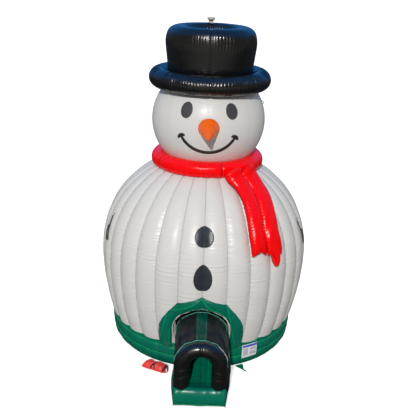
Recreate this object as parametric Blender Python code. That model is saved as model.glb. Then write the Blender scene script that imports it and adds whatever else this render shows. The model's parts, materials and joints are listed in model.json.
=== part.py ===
"""Snowman bounce house: a constant-air inflatable with a walk-in jump chamber and its blower.

Metres, +Z up. The front, with the entrance tunnel, faces -Y. The origin is on the ground,
under the middle of the body. Azimuths are measured from the front, positive towards +X.
"""
import math

import bmesh
import bpy
from mathutils import Matrix, Vector

# ---- driving dimensions -------------------------------------------------------------------

GAP = 0.0003                 # clearance between pieces that touch
SKIN = 0.007                 # thickness of a sewn-on panel
SKIN_LIFT = 0.0015           # a sewn-on panel stands this far off the piece behind it

GORES = 28                   # inflated gores round the body
COLUMN = math.pi / GORES     # half a gore: seams on even columns, crests on odd ones
SEAM_SHARE = 0.985           # radius at a seam, as a share of the radius at a crest

BODY_RADIUS = 2.29
BODY_WAIST_Z = 2.03
BODY_UPPER_HEIGHT = 2.22     # semi-axis of the body above its waist
BODY_UPPER_POWER = 2.15      # superellipse power above the waist
BODY_LOWER_HEIGHT = 3.33     # semi-axis of the ellipse below the waist
BODY_BOTTOM_Z = 0.575
NECK_RADIUS = 0.99
WALL = 0.085
WALL_SECTIONS = (            # name, first seam, last seam
    ("body_wall_front", -3, 3),
    ("body_wall_right_front", 3, 8),
    ("body_wall_right_rear", 8, 14),
    ("body_wall_left_rear", 14, 20),
    ("body_wall_left_front", 20, 25),
)

RING_TOP_Z = BODY_BOTTOM_Z - GAP
RING_BOTTOM_RADIUS = 1.94
RING_INNER_RADIUS = 1.84
FLOOR_RADIUS = 1.82
FLOOR_TOP_Z = 0.44
FLOOR_SKIN = 0.06

CEILING_RADIUS = 0.94
CEILING_TOP_Z = 4.10
CEILING_DEPTH = 0.07

HEAD_RADIUS = 1.215
HEAD_Z = 5.0
HEAD_HEIGHT = 1.15           # vertical semi-axis
HEAD_SHELL = 0.06
HEAD_HOLLOW = 0.94           # size of the head's inside as a share of its outside

BRIM_RADIUS = 1.094
BRIM_TUBE = 0.207
BRIM_Z = 5.886
CROWN_BASE_Z = 5.975
CROWN_TOP_Z = 6.95
CROWN_SHELL = 0.06
VENT_PLACE = (-0.02, 0.62)
VENT_TOP_Z = 7.07

TUNNEL_X = 0.015
TUNNEL_HALF = 0.52
TUNNEL_SHEET = 0.03
ENTRANCE_REACH = 3.42        # furthest point of the front bumper and of the blower
RAMP_LOW_Z = 0.40
RAMP_HIGH_Z = 0.555
RAMP_SLOPE_Y = -3.06
RAMP_BACK_Y = -2.07
ARCH_Y = -3.215
ARCH_TUBE = 0.15
ARCH_SPRING_Z = 0.85

DOOR_OUTER = ((0.86, 0.50), (0.885, 0.84), (0.87, 1.07), (0.81, 1.24), (0.69, 1.455),
              (0.50, 1.666), (0.0, 1.842))
DOOR_INNER = ((0.605, 0.50), (0.612, 0.84), (0.61, 1.10), (0.565, 1.24), (0.445, 1.40),
              (0.25, 1.53), (0.0, 1.576))
DOOR_FIT = 1.0008            # the hole in the wall is larger than the border by this ratio
BORDER_PROUD = 0.03
LINING_SHEET = 0.02
LINING_DEPTH = 0.34

TAIL_HALF_WIDTH = 0.170
TAIL_HALF_DEPTH = 0.09
TAIL_LIFT = 0.105            # height of a scarf tail's middle over the body
TAIL_ROUTES = {              # azimuth in degrees, height
    "scarf_tail_inner": ((21.2, 4.22), (24.2, 4.07), (29.0, 3.82), (30.0, 3.59), (29.2, 3.32),
                         (28.6, 3.03), (28.6, 2.80)),
    "scarf_tail_outer": ((37.0, 4.22), (40.0, 4.07), (43.2, 3.82), (41.7, 3.59), (39.3, 3.32),
                         (38.1, 3.03), (38.2, 2.80)),
}
TAIL_LEAVES_COLLAR_Z = 4.0
TAIL_COLLAR_RADIUS = 1.33    # distance of a tail's middle from the neck's axis, beside the collar
TAIL_COLLAR_TOP_Z = 4.20      # the tails start at this height, beside the collar
TAIL_COLLAR_FLARE = 0.3      # how far a tail leans out for each metre below that height
TAIL_TIPS = {"scarf_tail_inner": (30.2, 2.70), "scarf_tail_outer": (39.6, 2.46)}

ROPE_RADIUS = 0.011
ROPE_LIFT = 0.024            # height of a rope's middle over the body's crests
ROPE_ROUTES = {              # azimuth in degrees, height; from the ring down, then back up
    "tether_rope_left": ((-67.4, 2.985), (-67.4, 2.93), (-67.5, 2.84), (-67.6, 2.75),
                         (-67.3, 2.66), (-66.8, 2.58), (-66.2, 2.51), (-66.3, 2.465),
                         (-67.5, 2.455), (-68.6, 2.50), (-69.4, 2.57), (-69.8, 2.63),
                         (-69.5, 2.69), (-68.7, 2.735)),
    "tether_rope_right": ((69.3, 2.985), (69.6, 2.93), (70.4, 2.85), (71.3, 2.76),
                          (71.9, 2.68), (72.3, 2.60), (72.6, 2.53), (73.0, 2.475),
                          (73.9, 2.46), (74.5, 2.51), (74.3, 2.58), (73.9, 2.66),
                          (73.3, 2.73)),
}
ROPE_SAMPLES = 2             # spline points between two points of a route
TETHER_Z = 3.10
TETHER_AZIMUTHS = {"left": -67.4, "right": 69.3}
RING_DROP = 0.068            # the ring's bar below the middle of its patch
RING_LIFT = 0.014

TAB_AZIMUTHS = {"front_right": 25.5, "rear_right": 154.5, "rear_left": -154.5}
BAG_AZIMUTH = -25.0
BAG_RADIUS = 2.225           # distance from the origin to the middle of the bag

SLEEVE_START_Y = 2.075
SLEEVE_SHEET = 0.005

BLOWER_X = 0.0
BLOWER_Z = 0.29              # height of the impeller's axis
BLOWER_WIDTH = 0.24
BLOWER_SHEET = 0.006
VOLUTE_START = 0.165         # radius at the tongue
VOLUTE_GROWTH = 0.08
VOLUTE_FROM = -50            # degrees from the outlet's direction, positive upwards
VOLUTE_TO = 270              # the snail is widest at the bottom
VOLUTE_STEP = 20
DUCT_REACH = 0.34            # from the impeller's axis to the outlet's mouth
DUCT_TOP = -0.085            # relative to the axis
INTAKE_RADIUS = 0.10
IMPELLER_RADIUS = 0.137
BLADES = 7
MOTOR_RADIUS = 0.05
SWITCH_TILT = 10             # degrees

ZIPPER_COLUMN = 23.5         # halfway between a seam and a crest, at the rear
ZIPPER_LOW_Z = 1.09
ZIPPER_HIGH_Z = 1.51

# ---- colours ------------------------------------------------------------------------------

COLOURS = {                  # base colour, roughness, metallic
    "white_vinyl": ((0.60, 0.60, 0.58), 0.35, 0.0),
    "green_vinyl": ((0.0, 0.10, 0.055), 0.35, 0.0),
    "black_vinyl": ((0.012, 0.012, 0.012), 0.25, 0.0),
    "red_vinyl": ((0.75, 0.006, 0.01), 0.3, 0.0),
    "orange_vinyl": ((0.80, 0.13, 0.01), 0.35, 0.0),
    "charcoal_vinyl": ((0.05, 0.05, 0.055), 0.4, 0.0),
    "webbing": ((0.015, 0.015, 0.015), 0.8, 0.0),
    "rope": ((0.015, 0.015, 0.015), 0.85, 0.0),
    "steel": ((0.6, 0.6, 0.6), 0.3, 1.0),
    "vent_fabric": ((0.45, 0.44, 0.40), 0.7, 0.0),
    "sandbag_vinyl": ((0.72, 0.05, 0.05), 0.4, 0.0),
    "sleeve_fabric": ((0.0, 0.09, 0.05), 0.6, 0.0),
    "label_vinyl": ((0.75, 0.76, 0.80), 0.4, 0.0),
    "housing_plastic": ((0.80, 0.30, 0.02), 0.45, 0.0),
    "dark_plastic": ((0.02, 0.02, 0.02), 0.5, 0.0),
    "fan_plastic": ((0.05, 0.05, 0.05), 0.45, 0.0),
    "motor_metal": ((0.35, 0.35, 0.36), 0.45, 1.0),
    "zipper_tape": ((0.05, 0.05, 0.05), 0.8, 0.0),
    "switch_red": ((0.55, 0.01, 0.01), 0.3, 0.0),
}


def clear_scene():
    for obj in list(bpy.data.objects):
        bpy.data.objects.remove(obj, do_unlink=True)


def material(slot):
    """The Principled material of a slot, made once."""
    found = bpy.data.materials.get(slot)
    if found:
        return found
    colour, roughness, metallic = COLOURS[slot]
    made = bpy.data.materials.new(slot)
    made.use_nodes = True
    shader = made.node_tree.nodes["Principled BSDF"]
    shader.inputs["Base Color"].default_value = (*colour, 1.0)
    shader.inputs["Roughness"].default_value = roughness
    shader.inputs["Metallic"].default_value = metallic
    return made


# ---- shape helpers ------------------------------------------------------------------------

def polar(radius, azimuth, z):
    """A point at an azimuth in radians, measured from the front."""
    return Vector((radius * math.sin(azimuth), -radius * math.cos(azimuth), z))


def add_object(name, bm, slot, sharp_degrees=35.0):
    bmesh.ops.remove_doubles(bm, verts=bm.verts, dist=1e-6)
    bmesh.ops.recalc_face_normals(bm, faces=bm.faces)
    mesh = bpy.data.meshes.new(name)
    bm.to_mesh(mesh)
    bm.free()
    mesh.shade_smooth()
    mesh.set_sharp_from_angle(angle=math.radians(sharp_degrees))
    mesh.materials.append(material(slot))
    obj = bpy.data.objects.new(name, mesh)
    bpy.context.scene.collection.objects.link(obj)
    return obj


def origin_at(obj, point):
    """Move an object's origin to a point and leave its mesh where it is."""
    obj.data.transform(Matrix.Translation(-Vector(point)))
    obj.location = point
    return obj


def boolean(obj, tool, operation):
    """Keep a boolean on obj and turn the other object into a guide that isn't built."""
    modifier = obj.modifiers.new(operation.lower(), "BOOLEAN")
    modifier.operation = operation
    modifier.solver = "EXACT"
    modifier.object = tool
    tool.hide_render = True
    tool.display_type = "WIRE"
    return obj


def lofted(name, loops, slot, sharp_degrees=35.0, capped=True):
    """Skin closed loops of points one after another, with a cap on each end."""
    bm = bmesh.new()
    rings = [[bm.verts.new(point) for point in loop] for loop in loops]
    for ring, after in zip(rings, rings[1:] if capped else rings[1:] + rings[:1]):
        for i in range(len(ring)):
            j = (i + 1) % len(ring)
            bm.faces.new((ring[i], ring[j], after[j], after[i]))
    if capped:
        bm.faces.new(rings[0])
        bm.faces.new(rings[-1])
    return add_object(name, bm, slot, sharp_degrees)


def extruded(name, outline, place, slot, sharp_degrees=35.0):
    """Extrude an outline; place(u, v, end) gives the point at each end, 0 and 1."""
    loops = [[place(u, v, end) for u, v in outline] for end in (0, 1)]
    return lofted(name, loops, slot, sharp_degrees)


def turned(name, profile, columns, slot, centre=(0.0, 0.0, 0.0), axis_x=False, column_share=None,
           sharp_degrees=35.0):
    """Spin a closed profile of (radius, height) points about Z, or about X where axis_x is set."""
    bm = bmesh.new()
    loops = []
    for c in range(columns):
        azimuth = c * math.tau / columns
        share = column_share(c) if column_share else 1.0
        loops.append([bm.verts.new(polar(r * share, azimuth, z)) for r, z in profile])
    for loop, after in zip(loops, loops[1:] + loops[:1]):
        for i in range(len(profile)):
            j = (i + 1) % len(profile)
            if profile[i][0] or profile[j][0]:
                bm.faces.new((loop[i], loop[j], after[j], after[i]))
    bmesh.ops.remove_doubles(bm, verts=bm.verts, dist=1e-6)
    bmesh.ops.dissolve_degenerate(bm, dist=1e-7, edges=bm.edges)
    if axis_x:
        bmesh.ops.rotate(bm, verts=bm.verts, matrix=Matrix.Rotation(math.pi / 2, 3, "Y"))
    bmesh.ops.translate(bm, verts=bm.verts, vec=centre)
    return add_object(name, bm, slot, sharp_degrees)


def box(name, low, high, slot):
    bm = bmesh.new()
    bmesh.ops.create_cube(bm, size=1.0)
    size = Vector(high) - Vector(low)
    for vert in bm.verts:
        vert.co = Vector(low) + Vector((vert.co[i] + 0.5) * size[i] for i in range(3))
    return add_object(name, bm, slot)


def curve_tube(name, points, radius, slot, closed=False, resolution=2):
    """A round tube along straight spline points, with filled ends."""
    curve = bpy.data.curves.new(name, "CURVE")
    curve.dimensions = "3D"
    curve.bevel_depth = radius
    curve.bevel_resolution = resolution
    curve.use_fill_caps = not closed
    spline = curve.splines.new("POLY")
    spline.points.add(len(points) - 1)
    for target, point in zip(spline.points, points):
        target.co = (*point, 1.0)
    spline.use_cyclic_u = closed
    spline.use_smooth = True
    curve.materials.append(material(slot))
    obj = bpy.data.objects.new(name, curve)
    bpy.context.scene.collection.objects.link(obj)
    return obj


def smooth_route(points, samples):
    """Points on a Catmull-Rom curve through the route's own points."""
    padded = [2 * points[0] - points[1], *points, 2 * points[-1] - points[-2]]
    route = []
    for before, a, b, after in zip(padded, padded[1:], padded[2:], padded[3:]):
        for step in range(samples):
            t = step / samples
            route.append(0.5 * (2 * a + (b - before) * t + (2 * before - 5 * a + 4 * b - after) * t ** 2
                                + (3 * a - before - 3 * b + after) * t ** 3))
    return route + [points[-1]]


def offset_curve(points, distance):
    """Move an upward (radius, height) curve outwards along its own normals."""
    moved = []
    for i, (radius, z) in enumerate(points):
        before = points[max(i - 1, 0)]
        after = points[min(i + 1, len(points) - 1)]
        run = math.hypot(after[0] - before[0], after[1] - before[1])
        moved.append((radius + distance * (after[1] - before[1]) / run,
                      z - distance * (after[0] - before[0]) / run))
    return moved


def mirrored_outline(half):
    """Close a right-hand half outline, bottom to top, with its mirror image."""
    return list(half) + [(-u, v) for u, v in reversed(half) if u]


def radial_prism(name, outline, azimuth_degrees, near, far):
    """A guide prism whose (sideways, height) outline runs outwards along an azimuth."""
    azimuth = math.radians(azimuth_degrees)
    out = polar(1.0, azimuth, 0.0)
    side = Vector((math.cos(azimuth), math.sin(azimuth), 0.0))

    def place(u, v, end):
        return out * (far if end else near) + side * u + Vector((0, 0, v))

    return extruded(name, outline, place, "white_vinyl")


# ---- body ---------------------------------------------------------------------------------

def body_radius(z):
    """Crest radius of the body at a height."""
    rise = z - BODY_WAIST_Z
    if rise <= 0:
        return BODY_RADIUS * math.sqrt(1 - (rise / BODY_LOWER_HEIGHT) ** 2)
    share = 1 - (rise / BODY_UPPER_HEIGHT) ** BODY_UPPER_POWER
    return BODY_RADIUS * max(share, 0.0) ** (1 / BODY_UPPER_POWER)


def body_curve():
    """Crest line of the body, bottom to neck."""
    lower = [BODY_BOTTOM_Z, 1.05, 1.55, BODY_WAIST_Z, 2.50, 2.92]
    curve = [(body_radius(z), z) for z in lower]
    for radius in (1.88, 1.60, 1.30, NECK_RADIUS):
        share = 1 - (radius / BODY_RADIUS) ** BODY_UPPER_POWER
        curve.append((radius, BODY_WAIST_Z + BODY_UPPER_HEIGHT * share ** (1 / BODY_UPPER_POWER)))
    return curve


def gore_share(column):
    return SEAM_SHARE if column % 2 == 0 else 1.0


def gore_shell(name, first_seam, last_seam, inner, outer, slot, side_gap=0.0):
    """A run of gores as a wall between two offsets from the crest line."""
    columns = range(2 * first_seam, 2 * last_seam + 1)
    bm = bmesh.new()
    sheets = []
    for offset in (outer, inner):
        curve = offset_curve(body_curve(), offset)
        sheet = []
        for column in columns:
            azimuth = column * COLUMN
            shift = side_gap / 2 * ((column == columns[0]) - (column == columns[-1]))
            side = Vector((math.cos(azimuth), math.sin(azimuth), 0.0)) * shift
            share = gore_share(column)
            sheet.append([bm.verts.new(polar(r * share, azimuth, z) + side) for r, z in curve])
        for left, right in zip(sheet, sheet[1:]):
            for i in range(len(curve) - 1):
                bm.faces.new((left[i], right[i], right[i + 1]))
                bm.faces.new((left[i], right[i + 1], left[i + 1]))
        sheets.append(sheet)
    skin, lining = sheets
    for end in (0, -1):
        for i in range(len(skin[0]) - 1):
            bm.faces.new((skin[end][i], skin[end][i + 1], lining[end][i + 1], lining[end][i]))
        for c in range(len(skin) - 1):
            bm.faces.new((skin[c][end], skin[c + 1][end], lining[c + 1][end], lining[c][end]))
    return add_object(name, bm, slot, 20.0)


def body_patch(name, azimuth_degrees, outline, slot):
    """A sewn-on panel that follows the body's facets."""
    seam = round(math.radians(azimuth_degrees) / (2 * COLUMN))
    skin = gore_shell(name, seam - 2, seam + 2, SKIN_LIFT, SKIN_LIFT + SKIN, slot)
    return boolean(skin, radial_prism("guide_" + name, outline, azimuth_degrees, 0.8, 2.6), "INTERSECT")


def on_body(azimuth_degrees, z, lift):
    """A point standing off the crest surface along its normal."""
    step = 0.01
    slope = (body_radius(z + step) - body_radius(z - step)) / (2 * step)
    normal = Vector((1.0, -slope)).normalized()
    return polar(body_radius(z) + lift * normal.x, math.radians(azimuth_degrees), z + lift * normal.y)


def make_base_ring():
    profile = [(RING_INNER_RADIUS, 0.0), (RING_BOTTOM_RADIUS, 0.0), (2.03, 0.12), (2.06, 0.28),
               (2.06, 0.45), (2.045, RING_TOP_Z), (RING_INNER_RADIUS, RING_TOP_Z)]
    turned("base_ring", profile, 2 * GORES, "green_vinyl", column_share=gore_share, sharp_degrees=20.0)


def make_bounce_floor():
    inner = FLOOR_RADIUS - FLOOR_SKIN
    profile = [(0.0, FLOOR_TOP_Z), (FLOOR_RADIUS - 0.04, FLOOR_TOP_Z), (FLOOR_RADIUS, FLOOR_TOP_Z - 0.04),
               (FLOOR_RADIUS, 0.0), (inner, 0.0), (inner, FLOOR_TOP_Z - FLOOR_SKIN),
               (0.0, FLOOR_TOP_Z - FLOOR_SKIN)]
    turned("bounce_floor", profile, GORES, "green_vinyl", column_share=lambda c: SEAM_SHARE)


def make_body_walls():
    for name, first, last in WALL_SECTIONS:
        wall = gore_shell(name, first, last, -WALL, 0.0, "white_vinyl", side_gap=GAP)
        if name == "body_wall_front":
            outline = [(u * DOOR_FIT, v * DOOR_FIT) for u, v in mirrored_outline(DOOR_OUTER)]
            boolean(wall, radial_prism("guide_doorway", outline, 0.0, 1.2, 2.6), "DIFFERENCE")


def make_ceiling():
    profile = [(0.0, CEILING_TOP_Z), (CEILING_RADIUS, CEILING_TOP_Z),
               (CEILING_RADIUS, CEILING_TOP_Z - CEILING_DEPTH), (0.0, CEILING_TOP_Z - CEILING_DEPTH)]
    turned("neck_ceiling", profile, GORES, "white_vinyl")


def arch_band(outer, inner):
    """The outline between two half outlines, open at the bottom."""
    right_then_left = list(outer) + [(-u, v) for u, v in reversed(outer) if u]
    left_then_right = [(-u, v) for u, v in inner if u] + list(reversed(inner))
    return right_then_left + left_then_right


def make_doorway():
    border = gore_shell("doorway_border", -3, 3, -WALL, BORDER_PROUD, "green_vinyl")
    boolean(border, radial_prism("guide_border", arch_band(DOOR_OUTER, DOOR_INNER), 0.0, 1.2, 2.6),
            "INTERSECT")
    top = DOOR_INNER[-1][1]
    fit = (top - 0.004) / top
    outer = [(u * fit, v * fit) for u, v in DOOR_INNER]
    inner = [(u - LINING_SHEET if u else 0.0, v - (LINING_SHEET if v > 1.1 else 0.0)) for u, v in outer]
    lining = gore_shell("doorway_lining", -2, 2, -LINING_DEPTH, -0.004, "white_vinyl")
    boolean(lining, radial_prism("guide_lining", arch_band(outer, inner), 0.0, 1.2, 2.6), "INTERSECT")


# ---- head and hat -------------------------------------------------------------------------

def head_curve(low_z, high_z, steps):
    """Outer line of the head between two heights."""
    start = math.asin((low_z - HEAD_Z) / HEAD_HEIGHT)
    end = math.asin(min((high_z - HEAD_Z) / HEAD_HEIGHT, 1.0))
    curve = []
    for i in range(steps + 1):
        angle = start + (end - start) * i / steps
        curve.append((max(HEAD_RADIUS * math.cos(angle), 0.0), HEAD_Z + HEAD_HEIGHT * math.sin(angle)))
    return curve


def make_head():
    neck_z = CEILING_TOP_Z + GAP
    outside = head_curve(neck_z, HEAD_Z + HEAD_HEIGHT, 11)
    outside[-1] = (0.0, outside[-1][1])
    inside = [(r * HEAD_HOLLOW, HEAD_Z + (z - HEAD_Z) * HEAD_HOLLOW) for r, z in outside[::2]]
    inside[0] = (outside[0][0] - HEAD_SHELL, neck_z)
    inside.append((0.0, HEAD_Z + HEAD_HEIGHT * HEAD_HOLLOW))
    turned("head_envelope", outside + inside[::-1], GORES, "white_vinyl")


def head_patch(name, azimuth_degrees, outline, slot):
    """A sewn-on panel that follows the head."""
    curve = head_curve(CEILING_TOP_Z + GAP, HEAD_Z + HEAD_HEIGHT, 11)[1:-2]
    band = offset_curve(curve, SKIN_LIFT + SKIN) + offset_curve(curve, SKIN_LIFT)[::-1]
    skin = turned(name, band, GORES, slot)
    return boolean(skin, radial_prism("guide_" + name, outline, azimuth_degrees, 0.4, 1.6), "INTERSECT")


def ellipse(centre_z, half_width, half_height, points):
    return [(half_width * math.cos(math.tau * i / points),
             centre_z + half_height * math.sin(math.tau * i / points)) for i in range(points)]


def smile_outline():
    """An arc with a short bar across each end."""
    radius, centre_z, half_angle, half_stroke, half_bar, steps = 0.682, 5.247, 57.5, 0.024, 0.055, 14
    angles = [math.radians(-half_angle + 2 * half_angle * i / steps) for i in range(steps + 1)]
    lower = [(math.sin(a) * (radius + half_stroke), centre_z - math.cos(a) * (radius + half_stroke))
             for a in angles]
    upper = [(math.sin(a) * (radius - half_stroke), centre_z - math.cos(a) * (radius - half_stroke))
             for a in reversed(angles)]

    def bar(sign):
        corners = []
        bar_span = math.radians(2.0)
        end = sign * math.radians(half_angle)
        for reach, angle in ((half_bar, end), (half_bar, end + sign * bar_span),
                             (-half_bar, end + sign * bar_span), (-half_bar, end)):
            far = radius + reach
            corners.append((math.sin(angle) * far, centre_z - math.cos(angle) * far))
        return corners

    return lower + bar(1) + upper + bar(-1)[::-1]


def make_face():
    head_patch("eye_left", -22.8, ellipse(5.385, 0.122, 0.157, 16), "charcoal_vinyl")
    head_patch("eye_right", 23.6, ellipse(5.385, 0.122, 0.157, 16), "charcoal_vinyl")
    head_patch("mouth_smile", 0.0, smile_outline(), "charcoal_vinyl")
    base = Vector((0.01, -1.222, 5.05))
    tip = Vector((0.0, -1.76, 4.955))
    along = (tip - base).normalized()
    side = Vector((1, 0, 0))
    up = side.cross(along)
    loops = []
    for share, radius in ((0.0, 0.212), (0.06, 0.215), (0.5, 0.125), (0.93, 0.03), (1.0, 0.012)):
        middle = base.lerp(tip, share)
        spread = [(math.cos(math.tau * i / 16), math.sin(math.tau * i / 16)) for i in range(16)]
        loops.append([middle + side * radius * c + up * radius * s for c, s in spread])
    for point in loops[0]:
        point.y = base.y
    lofted("nose_cone", loops, "orange_vinyl")


def make_hat():
    angles = [math.tau * i / 10 for i in range(10)]
    tube = [(BRIM_RADIUS + BRIM_TUBE * math.cos(a), BRIM_Z + BRIM_TUBE * math.sin(a)) for a in angles]
    turned("hat_brim", tube, 36, "black_vinyl")
    outside = [(0.885, CROWN_BASE_Z), (0.905, 6.15), (0.935, 6.40), (0.96, 6.62), (0.93, 6.80),
               (0.84, 6.91), (0.70, CROWN_TOP_Z), (0.56, 6.92), (0.47, 6.84), (0.43, 6.74), (0.0, 6.70)]
    inside = offset_curve(outside, -CROWN_SHELL)
    inside[0] = (outside[0][0] - CROWN_SHELL, CROWN_BASE_Z)
    inside[-1] = (0.0, outside[-1][1] - CROWN_SHELL)
    inside = inside[0:1] + inside[3:6] + inside[6:9:2] + inside[9:]
    turned("hat_crown", outside + inside[::-1], 32, "black_vinyl")


def make_vent():
    x, y = VENT_PLACE
    tube = [(0.0, VENT_TOP_Z), (0.07, VENT_TOP_Z), (0.076, 7.052), (0.066, 7.02), (0.047, 7.0),
            (0.047, 6.99), (0.055, 6.965), (0.055, CROWN_TOP_Z + 0.006), (0.0, CROWN_TOP_Z + 0.006)]
    turned("vent_tube", tube, 14, "vent_fabric", centre=(x, y, 0.0))
    tie = [(0.048, 6.99), (0.056, 6.99), (0.056, 7.0), (0.048, 7.0)]
    turned("vent_tie", tie, 14, "webbing", centre=(x, y, 0.0))


# ---- scarf --------------------------------------------------------------------------------

def make_collar():
    profile = [(1.0, 4.085), (1.17, 4.006), (1.20, 4.05), (1.215, 4.16), (1.185, 4.265), (1.10, 4.312),
               (1.0, 4.305)]
    turned("scarf_collar", profile, 36, "red_vinyl")


def tail_middle(azimuth_degrees, z):
    """Middle of a scarf tail: over the collar near the neck, over the body below it."""
    if z > TAIL_LEAVES_COLLAR_Z:
        flare = TAIL_COLLAR_FLARE * (TAIL_COLLAR_TOP_Z - z)
        return polar(TAIL_COLLAR_RADIUS + flare, math.radians(azimuth_degrees), z)
    return on_body(azimuth_degrees, z, TAIL_LIFT)


def make_scarf_tails():
    for name, route in TAIL_ROUTES.items():
        middles = smooth_route([tail_middle(*stop) for stop in route], 2)
        widths = [1.0] * len(middles)
        middles.append(tail_middle(*TAIL_TIPS[name]))
        widths.append(0.45)
        loops = []
        for i, middle in enumerate(middles):
            ahead = middles[min(i + 1, len(middles) - 1)] - middles[max(i - 1, 0)]
            outward = Vector((middle.x, middle.y, 0.0)).normalized()
            side = Vector((0, 0, 1)).cross(outward).normalized()
            side = (side - ahead.normalized() * side.dot(ahead.normalized())).normalized()
            normal = side.cross(ahead).normalized()
            if normal.dot(outward) < 0:
                normal = -normal
            loop = []
            for k in range(8):
                angle = math.tau * (k + 0.5) / 8
                loop.append(middle + side * TAIL_HALF_WIDTH * widths[i] * math.cos(angle)
                            + normal * TAIL_HALF_DEPTH * widths[i] * math.sin(angle))
            loops.append(loop)
        lofted(name, loops, "red_vinyl", 60.0)


# ---- buttons, label and tethers -----------------------------------------------------------

def make_buttons():
    body_patch("button_upper", 0.0, ellipse(3.055, 0.19, 0.195, 16), "black_vinyl")
    drop = [(0.06, 2.015), (0.13, 2.06), (0.178, 2.14), (0.185, 2.22), (0.155, 2.33), (0.10, 2.43),
            (0.0, 2.52)]
    outline = drop + [(-u, v) for u, v in reversed(drop) if u] + [(0.0, 2.045)]
    body_patch("button_lower", 0.0, outline, "black_vinyl")


def make_label():
    curve = [(2.03, 0.12), (2.06, 0.28), (2.06, 0.45), (2.045, RING_TOP_Z)]
    band = offset_curve(curve, SKIN_LIFT + SKIN) + offset_curve(curve, SKIN_LIFT)[::-1]
    skin = turned("label_panel", band, 2 * GORES, "label_vinyl", column_share=gore_share)
    outline = [(-0.19, 0.21), (0.19, 0.21), (0.19, 0.52), (-0.19, 0.52)]
    boolean(skin, radial_prism("guide_label", outline, 31.0, 1.0, 2.6), "INTERSECT")


def d_ring_points(middle, side, down, half_width, height):
    """A D: a straight bar at the top and a half round below it."""
    points = [middle - side * half_width, middle + side * half_width]
    for i in range(1, 6):
        angle = math.pi * i / 6
        points.append(middle + side * half_width * math.cos(angle) + down * height * math.sin(angle))
    return points


def ring_bar(hand):
    """Middle of a tether ring's straight bar, which it swings about."""
    return on_body(TETHER_AZIMUTHS[hand], TETHER_Z - RING_DROP, RING_LIFT)


def make_tethers():
    for hand, azimuth in TETHER_AZIMUTHS.items():
        patch = [(-0.05, TETHER_Z - 0.05), (0.05, TETHER_Z - 0.05), (0.05, TETHER_Z + 0.05),
                 (-0.05, TETHER_Z + 0.05)]
        body_patch("tether_patch_" + hand, azimuth, patch, "webbing")
        top = ring_bar(hand)
        down = (on_body(azimuth, TETHER_Z - RING_DROP - 0.04, RING_LIFT) - top).normalized()
        side = Vector((math.cos(math.radians(azimuth)), math.sin(math.radians(azimuth)), 0.0))
        points = d_ring_points(top, side, down, 0.025, 0.025)
        ring = curve_tube("tether_ring_" + hand, points, 0.004, "steel", closed=True, resolution=1)
        origin_at(ring, top)
        route = [on_body(*stop, ROPE_LIFT) for stop in ROPE_ROUTES["tether_rope_" + hand]]
        rope = curve_tube("tether_rope_" + hand, smooth_route(route, ROPE_SAMPLES), ROPE_RADIUS, "rope")
        origin_at(rope, top)


def make_head_loop():
    """A short webbing loop that stands off the right side of the head."""
    azimuth, low, high = math.radians(80.0), 5.40, 5.47
    angle = math.asin((0.5 * (low + high) - HEAD_Z) / HEAD_HEIGHT)
    radius = HEAD_RADIUS * math.cos(angle) + 0.018
    out = polar(1.0, azimuth, 0.0)
    side = Vector((math.cos(azimuth), math.sin(azimuth), 0.0))
    outline = [(0.0, low), (0.045, low + 0.015), (0.045, high - 0.015), (0.0, high), (0.0, high - 0.008),
               (0.037, high - 0.02), (0.037, low + 0.02), (0.0, low + 0.008)]

    def place(u, v, end):
        lean = (v - low) * 0.42
        return out * (radius + u - lean) + side * (0.02 if end else -0.02) + Vector((0, 0, v))

    extruded("head_tether_loop", outline, place, "webbing")


# ---- entrance tunnel ----------------------------------------------------------------------

def ramp_top(y):
    """Height of the ramp's top at a distance along the tunnel."""
    share = min(max((y - RAMP_SLOPE_Y) / (RAMP_BACK_Y - RAMP_SLOPE_Y), 0.0), 1.0)
    return RAMP_LOW_Z + (RAMP_HIGH_Z - RAMP_LOW_Z) * share


def across_tunnel(half):
    def place(u, v, end):
        return Vector((TUNNEL_X + (half if end else -half), u, v))
    return place


def make_ramp():
    front = -ENTRANCE_REACH
    outline = [(front + 0.20, 0.0), (front + 0.06, 0.06), (front, 0.17), (front, 0.28), (front + 0.05, 0.37),
               (front + 0.12, RAMP_LOW_Z), (RAMP_SLOPE_Y, RAMP_LOW_Z), (RAMP_BACK_Y, RAMP_HIGH_Z),
               (RAMP_BACK_Y, 0.0)]
    extruded("entrance_ramp", outline, across_tunnel(TUNNEL_HALF), "green_vinyl", 50.0)


def make_entrance_arch():
    reach = TUNNEL_HALF - ARCH_TUBE
    points = [Vector((TUNNEL_X - reach, ARCH_Y, RAMP_LOW_Z + GAP))]
    for i in range(13):
        angle = math.pi * (1 - i / 12)
        across, up = reach * math.cos(angle), reach * math.sin(angle)
        points.append(Vector((TUNNEL_X + across, ARCH_Y, ARCH_SPRING_Z + up)))
    points.append(Vector((TUNNEL_X + reach, ARCH_Y, RAMP_LOW_Z + GAP)))
    curve_tube("entrance_arch", points, ARCH_TUBE, "black_vinyl", resolution=4)


def vault_section(y, bottom_z, top_z, half_width, sheet):
    """A closed loop round an arched sheet that is open at the bottom."""
    flat = 0.105
    spring_z = top_z - 0.42
    outer = [(half_width, bottom_z), (half_width, spring_z), (half_width * 0.93, spring_z + 0.17),
             (half_width * 0.70, spring_z + 0.30), (half_width * 0.40, spring_z + 0.385), (flat, top_z)]
    inner = [(u - sheet, v - (0.0 if i == 0 else sheet * i / 5)) for i, (u, v) in enumerate(outer)]
    inner[-1] = (flat, top_z - sheet)
    band = outer + [(-u, v) for u, v in reversed(outer)]
    band += [(-u, v) for u, v in inner] + list(reversed(inner))
    return [Vector((TUNNEL_X + u, y, v)) for u, v in band]


VAULT_STATIONS = (           # distance along the tunnel, top height
    (RAMP_SLOPE_Y, 1.345), (-2.70, 1.43), (-2.35, 1.495), (RAMP_BACK_Y, 1.50), (-1.95, 1.48),
)


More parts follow.
